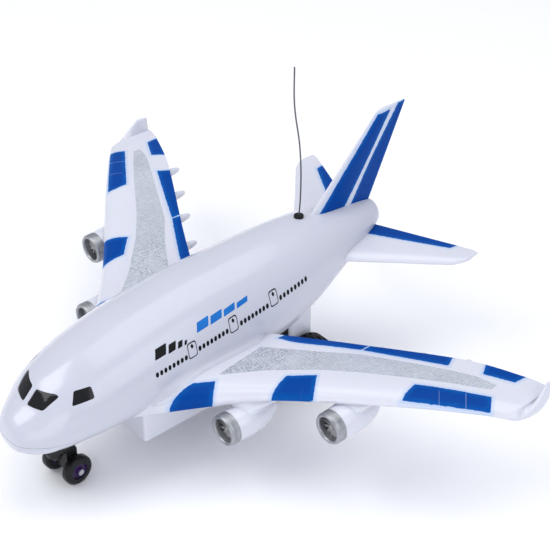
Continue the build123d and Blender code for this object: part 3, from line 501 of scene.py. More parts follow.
def white_plastic(name, tones=(WHITE, WHITE_TONE), axes=None, panels=(), gaps=(), facing_up=False):
    """Glossy white plastic with a faint tone, and blue sprayed panels with a soft pale rim."""
    n = Nodes(name)
    tone = n.varied(22.0, 0.0, 1.0)
    colour = n.blend(tone, *tones)
    specks = n.ramp(n.noise(900.0, 1.0), 0.74, 0.78, 0.0, 0.25)
    colour = n.blend(specks, colour, WHITE_SPECK)
    rough = n.varied(60.0, 0.17, 0.27)
    if panels:
        point = n.plane_point(*axes)
        distance = n.outside(point, panels)
        wobble = n.times(n.math("SUBTRACT", n.noise(420.0, 2.0), 0.5), 0.9)
        distance = n.math("ADD", distance, wobble)
        paint = n.ramp(distance, 0.12, -0.12)
        if gaps:
            paint = n.times(paint, n.ramp(n.outside(point, gaps), -0.5, -0.1))
        rim = n.ramp(distance, 2.6, 0.0, 0.0, 0.62)
        if facing_up:
            geometry = n.new("NewGeometry")
            level = n.vector("DOT_PRODUCT", geometry.outputs["Normal"], (0.0, 0.0, 1.0))
            up = n.ramp(level, -0.42, -0.30)
            paint = n.times(paint, up)
            rim = n.times(rim, up)
        colour = n.blend(rim, colour, HALO)
        depth = n.ramp(distance, -3.5, -0.2, 0.0, 0.85)
        blue = n.blend(n.times(depth, n.noise(130.0)), BLUE, BLUE_EDGE)
        colour = n.blend(paint, colour, blue)
        rough = n.math("ADD", rough, n.times(paint, 0.10))
        n.set(Specular_IOR_Level=n.ramp(paint, 0.0, 1.0, 0.5, 0.05))
        n.set(Coat_Weight=n.ramp(paint, 0.0, 1.0, 0.30, 0.0))
    else:
        n.set(Coat_Weight=0.30)
    n.set(
        Base_Color=colour,
        Roughness=rough,
        IOR=1.5,
        Coat_Roughness=0.08,
        Subsurface_Weight=0.08,
        Subsurface_Scale=0.004,
        Normal=n.bump(n.noise(75.0, 1.0), 0.06, 0.0004),
    )
    return n.material


def plastic(name, colour, second, rough, grain=400.0, coat=0.0, strength=0.12, gloss=0.5):
    """Moulded plastic in two close tones, with a fine grain."""
    n = Nodes(name)
    tone = n.ramp(n.noise(35.0), 0.35, 0.65)
    n.set(
        Base_Color=n.blend(tone, colour, second),
        Roughness=n.varied(90.0, rough - 0.05, rough + 0.08),
        Specular_IOR_Level=gloss,
        Coat_Weight=coat,
        Coat_Roughness=0.05,
        Normal=n.bump(n.noise(grain), strength, 0.0002),
    )
    return n.material


def metal(name, colour, second, rough, stretch=(1.0, 1.0, 1.0), grain=300.0):
    """Metal with fine lines drawn out along one axis."""
    n = Nodes(name)
    place = n.vector("MULTIPLY", n.place, stretch)
    lines = n.noise(grain, 4.0, place)
    n.set(
        Base_Color=n.blend(n.ramp(lines, 0.35, 0.65), colour, second),
        Metallic=1.0,
        Roughness=n.ramp(lines, 0.3, 0.7, rough - 0.06, rough + 0.08),
        Normal=n.bump(lines, 0.08, 0.0001),
    )
    return n.material


def crystal(name):
    """A clear lens over a knurled silver-grey underside, with glints and dark spots painted on the facets
    by the root.
    """
    n = Nodes(name)
    facets = n.cells(620.0, "Color")
    value = n.vector("DOT_PRODUCT", facets, (0.5, 0.3, 0.2))
    first = n.math("SINE", n.vector("DOT_PRODUCT", n.place, (1700.0, 1250.0, 0.0)))
    second = n.math("SINE", n.vector("DOT_PRODUCT", n.place, (-1250.0, 1900.0, 0.0)))
    knurl = n.ramp(n.times(first, second), -0.8, 0.8)
    root = n.ramp(n.math("ABSOLUTE", n.axes()[0]), 0.088, 0.064)
    root = n.times(root, n.ramp(n.noise(45.0, 2.0), 0.42, 0.58))
    height = n.math("ADD", n.times(knurl, 0.6), n.times(value, 0.7))
    shade = n.math("ADD", n.times(height, 0.75), n.varied(30.0, -0.08, 0.14))
    # painted glints and dark spots: brighter and darker cells put into the colour by the root
    painted_sparkle = n.times(root, n.ramp(n.cells(820.0, "Distance"), 0.1, 0.75, 0.9, -0.9))
    colour = n.blend(n.math("ADD", shade, painted_sparkle), (0.37, 0.40, 0.46, 1.0), (0.66, 0.69, 0.76, 1.0))
    n.set(
        Base_Color=colour,
        Metallic=0.2,
        Roughness=0.26,
        Coat_Weight=0.6,
        Coat_Roughness=0.08,
        Normal=n.bump(n.math("ADD", height, painted_sparkle), 0.35, 0.0003),
    )
    return n.material


def rubber(name):
    """Black tyre rubber with a dusty bloom."""
    n = Nodes(name)
    dust = n.ramp(n.noise(120.0), 0.5, 0.75)
    n.set(
        Base_Color=n.blend(dust, (0.006, 0.006, 0.007, 1.0), (0.014, 0.014, 0.015, 1.0)),
        Specular_IOR_Level=0.22,
        Roughness=n.varied(200.0, 0.5, 0.75),
        Normal=n.bump(n.noise(900.0), 0.25, 0.0002),
    )
    return n.material


NOSE_AXLE_POINT = (-0.70, -120.33, 9.9)
NOSE_AXLE_LINE = (0.9962, 0.0872, 0.0)  # the caster rests swung a little to port


def nose_wheel_black(name):
    """Glossy black plastic with a violet glint painted into its colour close to the nose wheels' axle line.
    """
    n = Nodes(name)
    offset = n.vector("SUBTRACT", n.place, tuple(Vector(NOSE_AXLE_POINT) * MM))
    reach = n.vector("LENGTH", n.vector("CROSS_PRODUCT", offset, NOSE_AXLE_LINE))
    inside = n.times(n.ramp(reach, 0.0056, 0.0050), n.ramp(reach, 0.0008, 0.0012))
    # painted glint: a violet tint put into the colour in a ring round the axle line
    painted_violet_glint = n.times(inside, n.ramp(n.noise(160.0), 0.35, 0.6, 0.3, 1.0))
    n.set(
        Base_Color=n.blend(painted_violet_glint, (0.005, 0.005, 0.006, 1.0), (0.05, 0.018, 0.11, 1.0)),
        Specular_IOR_Level=0.22,
        Roughness=n.varied(150.0, 0.28, 0.42),
        Coat_Weight=0.1,
        Normal=n.bump(n.noise(500.0), 0.1, 0.0002),
    )
    return n.material


def clear(name, colour):
    """Clear lamp plastic."""
    n = Nodes(name)
    n.set(
        Base_Color=n.blend(n.noise(80.0), colour, (0.8, 0.85, 0.95, 1.0)),
        Roughness=n.varied(60.0, 0.05, 0.12),
        Transmission_Weight=0.8,
        IOR=1.45,
    )
    return n.material


def cell_wrap(name):
    """A plain battery wrap: dark green with a copper-coloured end, as a band along X."""
    n = Nodes(name)
    end = n.ramp(n.axes()[0], 0.0120, 0.0124)
    n.set(
        Base_Color=n.blend(end, (0.01, 0.07, 0.03, 1.0), (0.45, 0.20, 0.06, 1.0)),
        Metallic=0.35,
        Roughness=n.varied(100.0, 0.25, 0.35),
        Normal=n.bump(n.noise(300.0), 0.05, 0.0001),
    )
    return n.material


MATERIALS = {}
for material in (
    white_plastic("white_shell"),
    plastic(
        "glazing_black", (0.006, 0.006, 0.008, 1), DECAL_GREY, 0.10,
        grain=60.0, coat=0.12, strength=0.02, gloss=0.25,
    ),
    crystal("lens_crystal"),
    clear("lamp_clear", (0.9, 0.93, 1.0, 1)),
    metal(
        "intake_silver", (0.30, 0.31, 0.33, 1), (0.43, 0.44, 0.46, 1), 0.40,
        stretch=(1.0, 14.0, 1.0), grain=90.0,
    ),
    plastic("fan_grey", (0.22, 0.22, 0.23, 1), (0.34, 0.34, 0.35, 1), 0.35),
    nose_wheel_black("nose_wheel_black"),
    plastic("hub_black", (0.007, 0.007, 0.008, 1), (0.012, 0.012, 0.014, 1), 0.38, gloss=0.25),
    rubber("tyre_rubber"),
    plastic("wire_coated", (0.055, 0.055, 0.06, 1), (0.09, 0.09, 0.10, 1), 0.36, grain=1500.0, coat=0.2),
    rubber("soft_rubber"),
    plastic("black_plastic", (0.008, 0.008, 0.009, 1), (0.014, 0.014, 0.015, 1), 0.4, gloss=0.25),
    metal("zinc_steel", (0.50, 0.51, 0.53, 1), (0.66, 0.67, 0.69, 1), 0.28, stretch=(1.0, 1.0, 6.0)),
    plastic("nylon_white", (0.72, 0.72, 0.68, 1), (0.80, 0.80, 0.76, 1), 0.4),
    metal("brass", (0.60, 0.42, 0.14, 1), (0.72, 0.54, 0.22, 1), 0.25, stretch=(4.0, 1.0, 1.0)),
    cell_wrap("cell_wrap"),
    plastic("board_green", (0.01, 0.10, 0.04, 1), (0.015, 0.14, 0.06, 1), 0.3, grain=700.0, coat=0.3),
    plastic("component_black", (0.02, 0.02, 0.02, 1), (0.04, 0.04, 0.04, 1), 0.45),
):
    MATERIALS[material.name.split(".")[0]] = material  # without a number Blender may add
# the white plastic again in its lighter tones: painted lighter, as if these parts were more brightly lit
# than the fuselage
PAINTED_LIGHTER_TONES = (WHITE_PAINTED_LIGHTER, WHITE_TONE_PAINTED_LIGHTER)
PAINTED_LIGHTER_WHITE = white_plastic("white_painted_lighter", PAINTED_LIGHTER_TONES)
WING_WHITE = white_plastic("white_wing", PAINTED_LIGHTER_TONES, (0, 1), WING_PANELS, WING_GAPS, facing_up=True)
TAILPLANE_WHITE = white_plastic("white_tailplane", PAINTED_LIGHTER_TONES, (0, 1), TAILPLANE_PANELS, facing_up=True)
FIN_WHITE = white_plastic("white_fin", PAINTED_LIGHTER_TONES, (1, 2), FIN_PANELS)
DECAL_BLACK = plastic(
    "decal_black", (0.008, 0.008, 0.010, 1), DECAL_GREY, 0.35, grain=600.0, strength=0.03, gloss=0.10
)
DECAL_BLUE = plastic(
    "decal_blue", (0.006, 0.12, 0.46, 1), (0.012, 0.17, 0.56, 1), 0.30,
    grain=600.0, strength=0.03, gloss=0.15,
)

# ---- fuselage surface
NOSE_Y, TAIL_Y = STATIONS[0][0], STATIONS[-1][0]
HALF_LENGTH = (TAIL_Y - NOSE_Y) / 2
MIDDLE_Y = (TAIL_Y + NOSE_Y) / 2
HULL_STEPS = 220
LEAST_RADIUS = 0.01  # keeps divisions safe at the pointed ends
SLOPE_STEP = 0.2  # step over which the slope of the nose is measured
LIP_SHARE = 0.985  # how far in the lip along the seam reaches


def turn_at(y):
    """The end-to-end angle, 0 at the nose and pi at the tail, whose cosine gives y."""
    return math.acos(max(-1.0, min(1.0, (MIDDLE_Y - y) / HALF_LENGTH)))


HULL = monotone([turn_at(row[0]) for row in STATIONS], [row[1:] for row in STATIONS], HULL_STEPS)


def hull_row(y):
    """(top z, bottom z, half width) of the fuselage at y."""
    place = turn_at(y) / math.pi * HULL_STEPS
    i = min(int(place), HULL_STEPS - 1)
    return mix(HULL[i], HULL[i + 1], place - i)


def widest_z(row):
    """The height at which the fuselage is widest."""
    return row[1] + BELLY_SHARE * (row[0] - row[1])


def reach_to(row, z):
    """From the widest height to the top or the bottom, whichever lies on z's side."""
    middle = widest_z(row)
    return row[0] - middle if z > middle else middle - row[1]


def hull_side(y, z, lift=0.0):
    """The point on the port side of the fuselage at y and z, lifted outwards."""
    row = hull_row(y)
    middle = widest_z(row)
    reach = reach_to(row, z)
    angle = math.asin(max(-1.0, min(1.0, (z - middle) / reach)))
    normal = Vector((math.cos(angle) / row[2], math.sin(angle) / reach)).normalized()
    return (row[2] * math.cos(angle) + lift * normal.x, y, z + lift * normal.y)


def hull_front(x, z, lift=0.0):
    """The point on the front of the fuselage at x and z, lifted forwards."""
    near, far = NOSE_Y, MIDDLE_Y
    for _ in range(40):
        y = (near + far) / 2
        row = hull_row(y)
        rise = (z - widest_z(row)) / max(reach_to(row, z), LEAST_RADIUS)
        inside = (x / max(row[2], LEAST_RADIUS)) ** 2 + rise ** 2 < 1
        near, far = (near, y) if inside else (y, far)
    if not lift:
        return (x, near, z)
    step = SLOPE_STEP
    slope_x = (hull_front(x + step, z)[1] - hull_front(x - step, z)[1]) / (2 * step)
    slope_z = (hull_front(x, z + step)[1] - hull_front(x, z - step)[1]) / (2 * step)
    normal = Vector((slope_x, -1.0, slope_z)).normalized()
    return (x + lift * normal.x, near + lift * normal.y, z + lift * normal.z)


def hull_rings(upper, count):
    """Open rings of the upper or lower shell, each from one side of the seam round to the other."""
    rings = []
    for step in range(HULL_STEPS + 1):
        y = MIDDLE_Y - HALF_LENGTH * math.cos(math.pi * step / HULL_STEPS)
        top, bottom, half = HULL[step]
        middle = widest_z((top, bottom, half))
        edge = SEAM_Z + (SEAM_GAP if upper else -SEAM_GAP)
        below, above = middle - bottom, top - middle
        reach = below if edge < middle else above
        start = math.asin(max(-1.0, min(1.0, (edge - middle) / max(reach, LEAST_RADIUS))))
        if not upper and bottom > edge:
            continue
        sweep = (math.pi - 2 * start) if upper else (-math.pi - 2 * start)
        ring = []
        for i in range(count + 1):
            a = start + sweep * i / count
            height = above if math.sin(a) > 0 else below
            ring.append((half * math.cos(a), y, middle + height * math.sin(a)))
        lip = [(x * LIP_SHARE, y, z) for x, y, z in (ring[0], ring[-1])]
        rings.append([lip[0], *ring, lip[1]])
    return rings


PANE_DEPTH = 0.55
PANE_CORNER = 1.3
PANE_STEP = 1.5
PLUG_TOP = 1.2  # how far the plug that cuts a pane's recess stands over the shell
# (scale about the pane's middle, lift) of the plug's rings, and of the pane's own rim
PLUG_LAYERS = [(scale, -PANE_DEPTH) for scale in (0.0, 0.34, 0.67, 1.0)]
PLUG_LAYERS += [(scale, PLUG_TOP) for scale in (1.05, 0.6, 0.0)]
PANE_LAYERS = [(1.0, -PANE_DEPTH - 0.4), (1.0, -PANE_DEPTH + 0.05), (0.96, -PANE_DEPTH + 0.12)]


def pane_cutter(shape, surface, side):
    """A closed plug on the surface that the upper shell is cut with."""
    middle = mix(shape[0], shape[len(shape) // 2], 0.5)
    rings = [[surface(*mix(middle, p, scale), lift) for p in shape] for scale, lift in PLUG_LAYERS]
    return cutter(*sided(skin(rings), side))


upper = piece("fuselage_upper", *skin(hull_rings(True, 96)))
lower = piece("fuselage_lower", *skin(hull_rings(False, 48), closed=False), away=ABOVE)
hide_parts("fuselage_upper_shell")

for side_name, side in SIDES:
    for pane_name, outline, surface in (
        ("windscreen", WINDSCREEN, hull_front),
        ("side_pane", SIDE_PANE, hull_side),
    ):
        shape = stepped(rounded(outline, PANE_CORNER), PANE_STEP)
        pane = sided(patch(shape, surface, PANE_LAYERS, 5), side)
        piece(f"{pane_name}_{side_name}", *pane, "glazing_black", away=IN_COCKPIT)
        cut(upper, pane_cutter(shape, surface, side))
smooth(upper.data, 32)
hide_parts("cockpit_glazing")

# ---- decals on the fuselage
WINDOW_GROUPS = [
    ((-74.3, 75.6), (-53.1, 77.3)),
    ((-42.5, 78.9), (-21.5, 80.7)),
    ((-10.2, 81.3), (11.2, 82.9)),
    ((22.5, 83.6), (45.0, 85.8)),
]
DOORS = [(-47.7, 80.0), (-15.9, 82.8), (17.3, 85.5)]
DOOR_SIZE = (6.6, 9.8)
WINDOW_SIZE = (2.2, 3.2)
WINDOWS_IN_GROUP = 8
DOOR_CORNERS = [(-0.5, -0.5), (0.5, -0.44), (0.5, 0.5), (-0.5, 0.44)]  # shares of its width and height
DOOR_LEAN = 0.08
DOOR_FRAME = 0.85  # the door's inner outline over its outer one
DOOR_PANE = (0.3, 0.22, 1.9, 2.4)  # distance along, share of the height up, width, height
# plain slanted bars where a livery would be: (length, height) of each from front to back
BLACK_BARS = [(8.0, 4.8), (5.4, 4.0), (3.4, 3.1), (1.8, 2.2)]
BLUE_BARS = [(9.0, 4.4), (9.0, 3.8), (9.0, 3.1), (9.0, 2.5)]
BAR_GAP = 1.4
BAR_LEAN = 0.55
BAR_CLIMB = 0.11  # slope of a bar's own long edges
# (colour, bars, y and z of the first one, slope of the row)
BAR_ROWS = [("black", BLACK_BARS, -73.0, 83.4, 0.04), ("blue", BLUE_BARS, -41.5, 87.4, 0.075)]
DECAL_LIFT = 0.03


def oval(y, z, width, height, count=16, lean=0.0):
    """A rounded outline about (y, z)."""
    made = []
    for i in range(count):
        a = 2 * math.pi * i / count
        rise = height / 2 * math.sin(a)
        made.append((y + width / 2 * math.cos(a) + lean * rise, z + rise))
    return made


def decal(outline, hole=None):
    """Points and faces of a thin print on the port side of the fuselage, with a hole if asked."""
    if hole:
        rings = [[hull_side(*p, DECAL_LIFT) for p in shape] for shape in (outline, hole)]
        return skin(rings)
    middle = mix(outline[0], outline[len(outline) // 2], 0.5)
    rings = [[hull_side(*mix(middle, p, scale), DECAL_LIFT) for p in outline] for scale in (1.0, 0.5, 0.02)]
    return skin(rings, ends=(False, True))


def joined(parts):
    """Several sets of points and faces as one."""
    points, faces = [], []
    for more_points, more_faces in parts:
        faces += [tuple(i + len(points) for i in face) for face in more_faces]
        points += more_points
    return points, faces


def bar(y, z, length, height, lean):
    """A slanted bar that climbs with the window row."""
    corners = [(0, 0), (length, 0), (length + lean * height, height), (lean * height, height)]
    return stepped(rounded([(y + a, z + b + BAR_CLIMB * a) for a, b in corners], 0.5, 3), 2.0)


prints = {"black": [], "blue": []}
for first, last in WINDOW_GROUPS:
    for i in range(WINDOWS_IN_GROUP):
        place = mix(first, last, i / (WINDOWS_IN_GROUP - 1))
        prints["black"].append(decal(oval(*place, *WINDOW_SIZE, lean=0.1)))
for y, z in DOORS:
    width, height = DOOR_SIZE
    corners = [(y + width * a + DOOR_LEAN * height * b, z + height * b) for a, b in DOOR_CORNERS]
    outer = stepped(rounded(corners, 1.8), 1.2)
    inner = [mix((y, z), p, DOOR_FRAME) for p in outer]
    prints["black"].append(decal(outer, inner))
    shift, share, *pane_size = DOOR_PANE
    prints["black"].append(decal(oval(y + shift, z + height * share, *pane_size)))
for colour, bars, y, z, climb in BAR_ROWS:
    start = y
    for length, height in bars:
        prints[colour].append(decal(bar(start, z + climb * (start - y), length, height, BAR_LEAN)))
        start += length + BAR_GAP
for colour, material in (("black", DECAL_BLACK), ("blue", DECAL_BLUE)):
    for side_name, side in SIDES:
        shape = sided(joined(prints[colour]), side)
        piece(f"print_{colour}_{side_name}", *shape, away=IN_CABIN, finish=material)


# ---- wings and tail surfaces
TOP_COUNT = 26  # steps along a section's top, and again along its underside
NOSE_DROOP = 0.0125  # depth of a section's nose below its middle, over its thickness squared
CREST_AT = 0.36  # shares of the chord at which a section is highest
TROUGH_AT = 0.4  # and lowest
DEPTH_SHARE = 0.45  # depth of its lowest line, over its thickness
TOP_FALL = 0.08  # fall of its top from the crest to the trailing edge, over its thickness
EDGE_SHARE = 0.14  # thickness of its trailing edge, over its own
EDGE_LEAST = 0.9


def nose_curve(s, widest):
    """A quarter ellipse: 0 at s = 0 and 1 at s = widest."""
    return math.sqrt(max(0.0, 1 - ((widest - s) / widest) ** 2))


def top_height(s, thick):
    """The height of a section's top at a share s of its chord."""
    crest = 0.5 * thick
    nose = -NOSE_DROOP * thick * thick
    if s < CREST_AT:
        return nose + (crest - nose) * nose_curve(s, CREST_AT)
    return crest - TOP_FALL * thick * ((s - CREST_AT) / (1 - CREST_AT)) ** 2


def low_height(s, thick):
    """The height of a section's underside at a share s of its chord."""
    nose = -NOSE_DROOP * thick * thick
    if s < TROUGH_AT:
        return nose - (DEPTH_SHARE * thick + nose) * nose_curve(s, TROUGH_AT)
    tail = 0.5 * thick - TOP_FALL * thick - max(EDGE_LEAST, EDGE_SHARE * thick)
    t = (s - TROUGH_AT) / (1 - TROUGH_AT)
    return mix(-DEPTH_SHARE * thick, tail, 0.4 * t * t * (3 - 2 * t) + 0.6 * t)


def section(row):
    """A closed ring of points for one section, from the trailing edge's top forward and round below."""
    x, z, tilt, lead, trail, thick = row
    flat = []
    for i in range(2 * TOP_COUNT + 1):
        s = (math.cos(math.pi * i / TOP_COUNT) + 1) / 2
        height = top_height(s, thick) if i <= TOP_COUNT else low_height(s, thick)
        flat.append((mix(lead, trail, s), height))
    lean = math.radians(tilt)
    return [(x - v * math.sin(lean), y, z + v * math.cos(lean)) for y, v in flat]


def surface_rings(rows, steps):
    """The rings of a wing or tailplane from its root outwards."""
    return [section(row) for row in catmull(rows, steps)]


WING_SPAN = catmull(WING[:6], 12)  # the wing without its winglet


def wing_row(x):
    """The wing's section row at x."""
    i = max(j for j in range(len(WING_SPAN) - 1) if WING_SPAN[j][0] <= x)
    before, after = WING_SPAN[i], WING_SPAN[i + 1]
    return mix(before, after, (x - before[0]) / (after[0] - before[0]))


def wing_top(x, y, lift=0.0):
    """The point on the top of the port wing at x and y."""
    _, z, _, lead, trail, thick = wing_row(x)
    return (x, y, z + top_height((y - lead) / (trail - lead), thick) + lift)


FAIRING_X = [71.0, 96.0, 118.0, 142.0]
FAIRING_DROP = 6.8  # its axis below the top of the wing
FAIRING_RADIUS = 3.1
FAIRING_HALF = 15.0
FAIRING_AHEAD = 6.0  # its middle ahead of the trailing edge
PART_AT = TOP_COUNT + 4  # the skins part just under the leading edge


def fairing(x):
    """A flap-track fairing: a slim pod under the trailing edge."""
    _, z, _, _, trail, thick = wing_row(x)
    profile = []
    for i in range(21):
        a = math.pi * i / 20
        profile.append((-FAIRING_HALF * math.cos(a), FAIRING_RADIUS * math.sin(a) ** 0.8))
    return lathe(profile, (x, trail - FAIRING_AHEAD, z + thick / 2 - FAIRING_DROP), "y", 28)


FILLET_REACH = 5.5  # how far the strip runs up the fuselage and out along the wing
FILLET_Y = (-80.0, 7.0)
FILLET_START_X = 33.0  # first guess at where the surfaces meet
FILLET_LEAST_X = 28.5
FILLET_LIFT = 0.02


def root_fillet(columns=48, count=8):
    """A soft concave strip where the top of the port wing meets the fuselage."""
    rings = []
    for i in range(columns + 1):
        y = mix(*FILLET_Y, i / columns)
        x = FILLET_START_X
        for _ in range(14):
            z = wing_top(x, y)[2]
            x = max(FILLET_LEAST_X, hull_side(y, z)[0])
        reach = FILLET_REACH * min(1.0, 0.15 + 3.0 * math.sin(math.pi * i / columns))
        high, low = hull_side(y, z + reach, FILLET_LIFT), wing_top(x + reach, y, FILLET_LIFT)
        corner = (x, y, z)
        ring = []
        for step in range(count + 1):
            t = step / count
            ring.append(mix(mix(high, corner, t), mix(corner, low, t), t))
        rings.append(ring)
    return skin(rings, closed=False)


wing_rings = surface_rings(WING, 9)
tip = wing_rings[-1]
tip_middle = mix(tip[0], tip[TOP_COUNT], 0.5)
WING_TOP_MESH = skin([ring[: PART_AT + 1] for ring in wing_rings], closed=False)
WING_LOW_MESH = skin([[*ring[PART_AT:], ring[0]] for ring in wing_rings], closed=False)
FAIRINGS_MESH = joined([fairing(x) for x in FAIRING_X])
WINGLET_EDGE_MESH = skin([tip, [mix(p, tip_middle, 0.98) for p in tip]])
FILLET_MESH = root_fillet()
LENS_MESH = ribbon(LENS_FRONT, LENS_BACK, wing_top, (-0.5, 0.02, 0.2, 0.28))
TAILPLANE_MESH = skin(surface_rings(TAILPLANE, 10), ends=(False, True))
# (piece, mesh, slot, point its open skin faces away from, painted finish, CAD node it replaces)
# most of these pieces take the white painted lighter, as if more brightly lit than the fuselage
WING_PIECES = [
    ("wing_top", WING_TOP_MESH, "white_shell", BELOW, WING_WHITE, "wing_upper_skin"),
    ("wing_under", WING_LOW_MESH, "white_shell", ABOVE, PAINTED_LIGHTER_WHITE, "wing_lower_skin"),
    ("fairings", FAIRINGS_MESH, "white_shell", None, PAINTED_LIGHTER_WHITE, None),
    ("winglet_edge", WINGLET_EDGE_MESH, "white_shell", BELOW, PAINTED_LIGHTER_WHITE, None),
    ("root_fillet", FILLET_MESH, "white_shell", BELOW, None, None),
    ("lens", LENS_MESH, "lens_crystal", BELOW, None, "wing_lens"),
    ("tailplane_skin", TAILPLANE_MESH, "white_shell", None, TAILPLANE_WHITE, "tailplane"),
]
for side_name, side in SIDES:
    for name, shape, slot, away, finish, node_name in WING_PIECES:
        made = piece(f"{name}_{side_name}", *sided(shape, side), slot, away=away, finish=finish)
        if node_name:
            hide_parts(f"{node_name}_{side_name}")

# the fin
FIN_FULL = 0.35  # share of the fin's chord behind which it thins
FIN_THINNING = 0.72  # how much of its thickness is gone at the trailing edge
FIN_NOSE = 2.2  # how steeply it thickens behind its leading edge


def fin_ring(z, lead, trail, thick, count=20):
    """A level ring of the fin: a slim leaf with a rounded nose and a thin trailing edge."""
    ring = []
    for i in range(2 * count):
        s = (1 + math.cos(math.pi * i / count)) / 2
        taper = 1 - FIN_THINNING * max(0.0, s - FIN_FULL) / (1 - FIN_FULL)
        half = thick / 2 * min(1.0, FIN_NOSE * math.sqrt(s)) * taper
        if i in (0, count):
            half = 0.0
        ring.append((half if i < count else -half, lead + s * (trail - lead), z))
    return ring


fin_rows = catmull(FIN, 14)
z, lead, trail, thick = fin_rows[-1]
fin_rows.append((z + 0.7, lead + 0.9, trail, thick * 0.8))  # the rounded tip
fin_rows.append((z + 1.1, lead + 2.2, trail - 0.3, thick * 0.35))
FIN_MESH = skin([fin_ring(*row) for row in fin_rows], ends=(False, True))
fin = piece("fin_skin", *FIN_MESH, sharp=55, finish=FIN_WHITE)
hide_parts("tail_fin")

# ---- engines
RING_PROFILE = [
    (6.5, 7.4), (1.6, 7.4), (0.6, 7.7), (0.1, 8.2), (0.0, 8.7), (0.2, 9.3), (0.8, 9.75), (1.6, 10.0),
    (2.3, 10.1), (2.5, 9.9), (2.8, 9.9), (3.0, 10.1), (3.9, 10.1), (4.1, 9.9), (4.4, 9.9), (4.6, 10.1),
    (6.5, 10.1),
]
NACELLE_PROFILE = [
    (10.0, 6.9), (6.6, 6.9), (6.5, 9.7), (6.7, 10.0), (9.0, 10.2), (13.0, 10.5), (18.0, 10.6), (24.0, 10.2),
    (29.0, 9.2), (33.5, 7.6), (37.0, 5.8), (38.0, 5.2), (37.9, 4.8), (34.0, 4.5), (34.0, 2.4), (41.0, 0.3),
]
HUB_PROFILE = [(2.4, 0.0), (2.6, 0.8), (3.4, 1.6), (4.6, 2.1), (5.6, 2.3), (6.0, 2.3)]
# pylon rings from the nacelle up to the wing: (share of the height, front, back, half width)
PYLON = [
    (0.25, 11.5, 36.0, 9.0),
    (0.5, 12.4, 37.5, 9.4),
    (0.7, 13.4, 39.0, 10.8),
    (0.86, 14.6, 41.0, 13.5),
    (1.0, 16.0, 44.0, 17.0),
]
PYLON_ROUNDING = 0.6  # below 1 the pylon's sides are fuller than an ellipse
PYLON_TAPER = 0.45  # how much narrower it is at its back
PYLON_SWEEP_FROM = 0.4  # share of the height at which its sides begin to sweep back
# fan blade: (radius, pitch in degrees) from root to tip, its middle behind the intake, its section
BLADE_STATIONS = ((1.9, 48.0), (4.4, 36.0), (7.1, 26.0))
BLADE_DEPTH = 4.7
BLADE_SECTION = ((-1.1, -0.2), (1.1, -0.2), (1.1, 0.2), (-1.1, 0.2))
BLADES = 12


def pylon(x, y, z, height, sweep):
    """A streamlined block from the top of a nacelle into the wing, flared and swept back at the wing."""
    rings = []
    for share, front, back, half in PYLON:
        ring = []
        for i in range(48):
            a = 2 * math.pi * i / 48
            s = (1 - math.cos(a)) / 2
            full = math.copysign(abs(math.sin(a)) ** PYLON_ROUNDING, math.sin(a))
            width = half * full * (1 - PYLON_TAPER * s)
            skew = sweep * width * (1 - s) * max(0.0, share - PYLON_SWEEP_FROM) / (1 - PYLON_SWEEP_FROM)
            ring.append((x + width, y + front + (back - front) * s + skew, z + height * share))
        rings.append(ring)
    return skin(catmull_rings(rings, 3))


def catmull_rings(rings, steps):
    """Rings with more between them, each point on its own Catmull-Rom curve."""
    lines = [catmull([ring[i] for ring in rings], steps) for i in range(len(rings[0]))]
    return [list(ring) for ring in zip(*lines)]


def blade(x, y, z, turn):
    """One fan blade, pitched and slightly twisted."""
    rings = []
    c, s = math.cos(turn), math.sin(turn)
    for radius, pitch in BLADE_STATIONS:
        lean = math.radians(pitch)
        ring = []
        for a, b in BLADE_SECTION:
            back = a * math.sin(lean) + b * math.cos(lean)
            across = a * math.cos(lean) - b * math.sin(lean)
            ring.append((x + radius * c - across * s, y + BLADE_DEPTH + back, z + radius * s + across * c))
        rings.append(ring)
    return skin(rings, ends=(True, True))


for side_name, side in SIDES:
    for name, x, y, z, height, sweep in ENGINES:
        centre = (x, y, z)
        label = f"{name}_{side_name}"
        shape = sided(joined([lathe(NACELLE_PROFILE, centre), pylon(x, y, z, height, sweep)]), side)
        # the nacelle and pylon take the white painted lighter, as if more brightly lit than the fuselage
        nacelle = piece(f"engine_{label}", *shape, finish=PAINTED_LIGHTER_WHITE)
        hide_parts(f"nacelle_{label}")
        shape = sided(lathe(RING_PROFILE, centre), side)
        ring = piece(f"intake_{label}", *shape, "intake_silver", sharp=35)
        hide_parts(f"intake_ring_{label}")
        disc = lathe([(6.0, 7.4), (6.0, 2.3), *HUB_PROFILE[::-1][1:]], centre)
        blades = [blade(x, y, z, 2 * math.pi * i / BLADES) for i in range(BLADES)]
        fan = piece(f"fan_{label}", *sided(joined([disc, *blades]), side), "fan_grey")
        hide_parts(f"fan_disc_{label}")

# ---- belly, pod and nose boss
# (half width, front y, back y, bottom z, top z inside the shell) of the belly box and the drive wheels' pod
BELLY = (29.0, -82.0, 26.0, 22.0, 56.0)
POD = (23.0, 39.0, 58.0, 8.5, 58.0)
EDGE_RADIUS = 2.4
WALL = 2.0
BATTERY_DOOR_BACK = -9.0  # y to which the battery door's opening runs
BATTERY_BAY_HEIGHT = 18.0
SWITCH_SLOT = (4.8, 4.1, 7.9)  # half width, front y, back y
SCREW_X = (-24.0, 24.0)
SCREW_Y = 15.0
SCREW_HOLE_RADIUS = 2.5
DRIVE_AXLE = (0.0, 47.0, 19.0)
AXLE_HOLE_RADIUS = 4.2


def rounded_box(name, half, front, back, bottom, top):
    """A box with rounded edges."""
    made = piece(name, *box_mesh(-half, half, front, back, bottom, top))
    edit = bmesh.new()
    edit.from_mesh(made.data)
    bmesh.ops.bevel(edit, geom=edit.edges, offset=EDGE_RADIUS * MM, segments=4, profile=0.5, affect="EDGES")
    edit.to_mesh(made.data)
    edit.free()
    smooth(made.data, 35)
    return made


def drill(start, end, radius, centre, axis, segments):
    """A round cutter along an axis."""
    return cutter(*lathe([(start, 0), (start, radius), (end, radius), (end, 0)], centre, axis, segments))


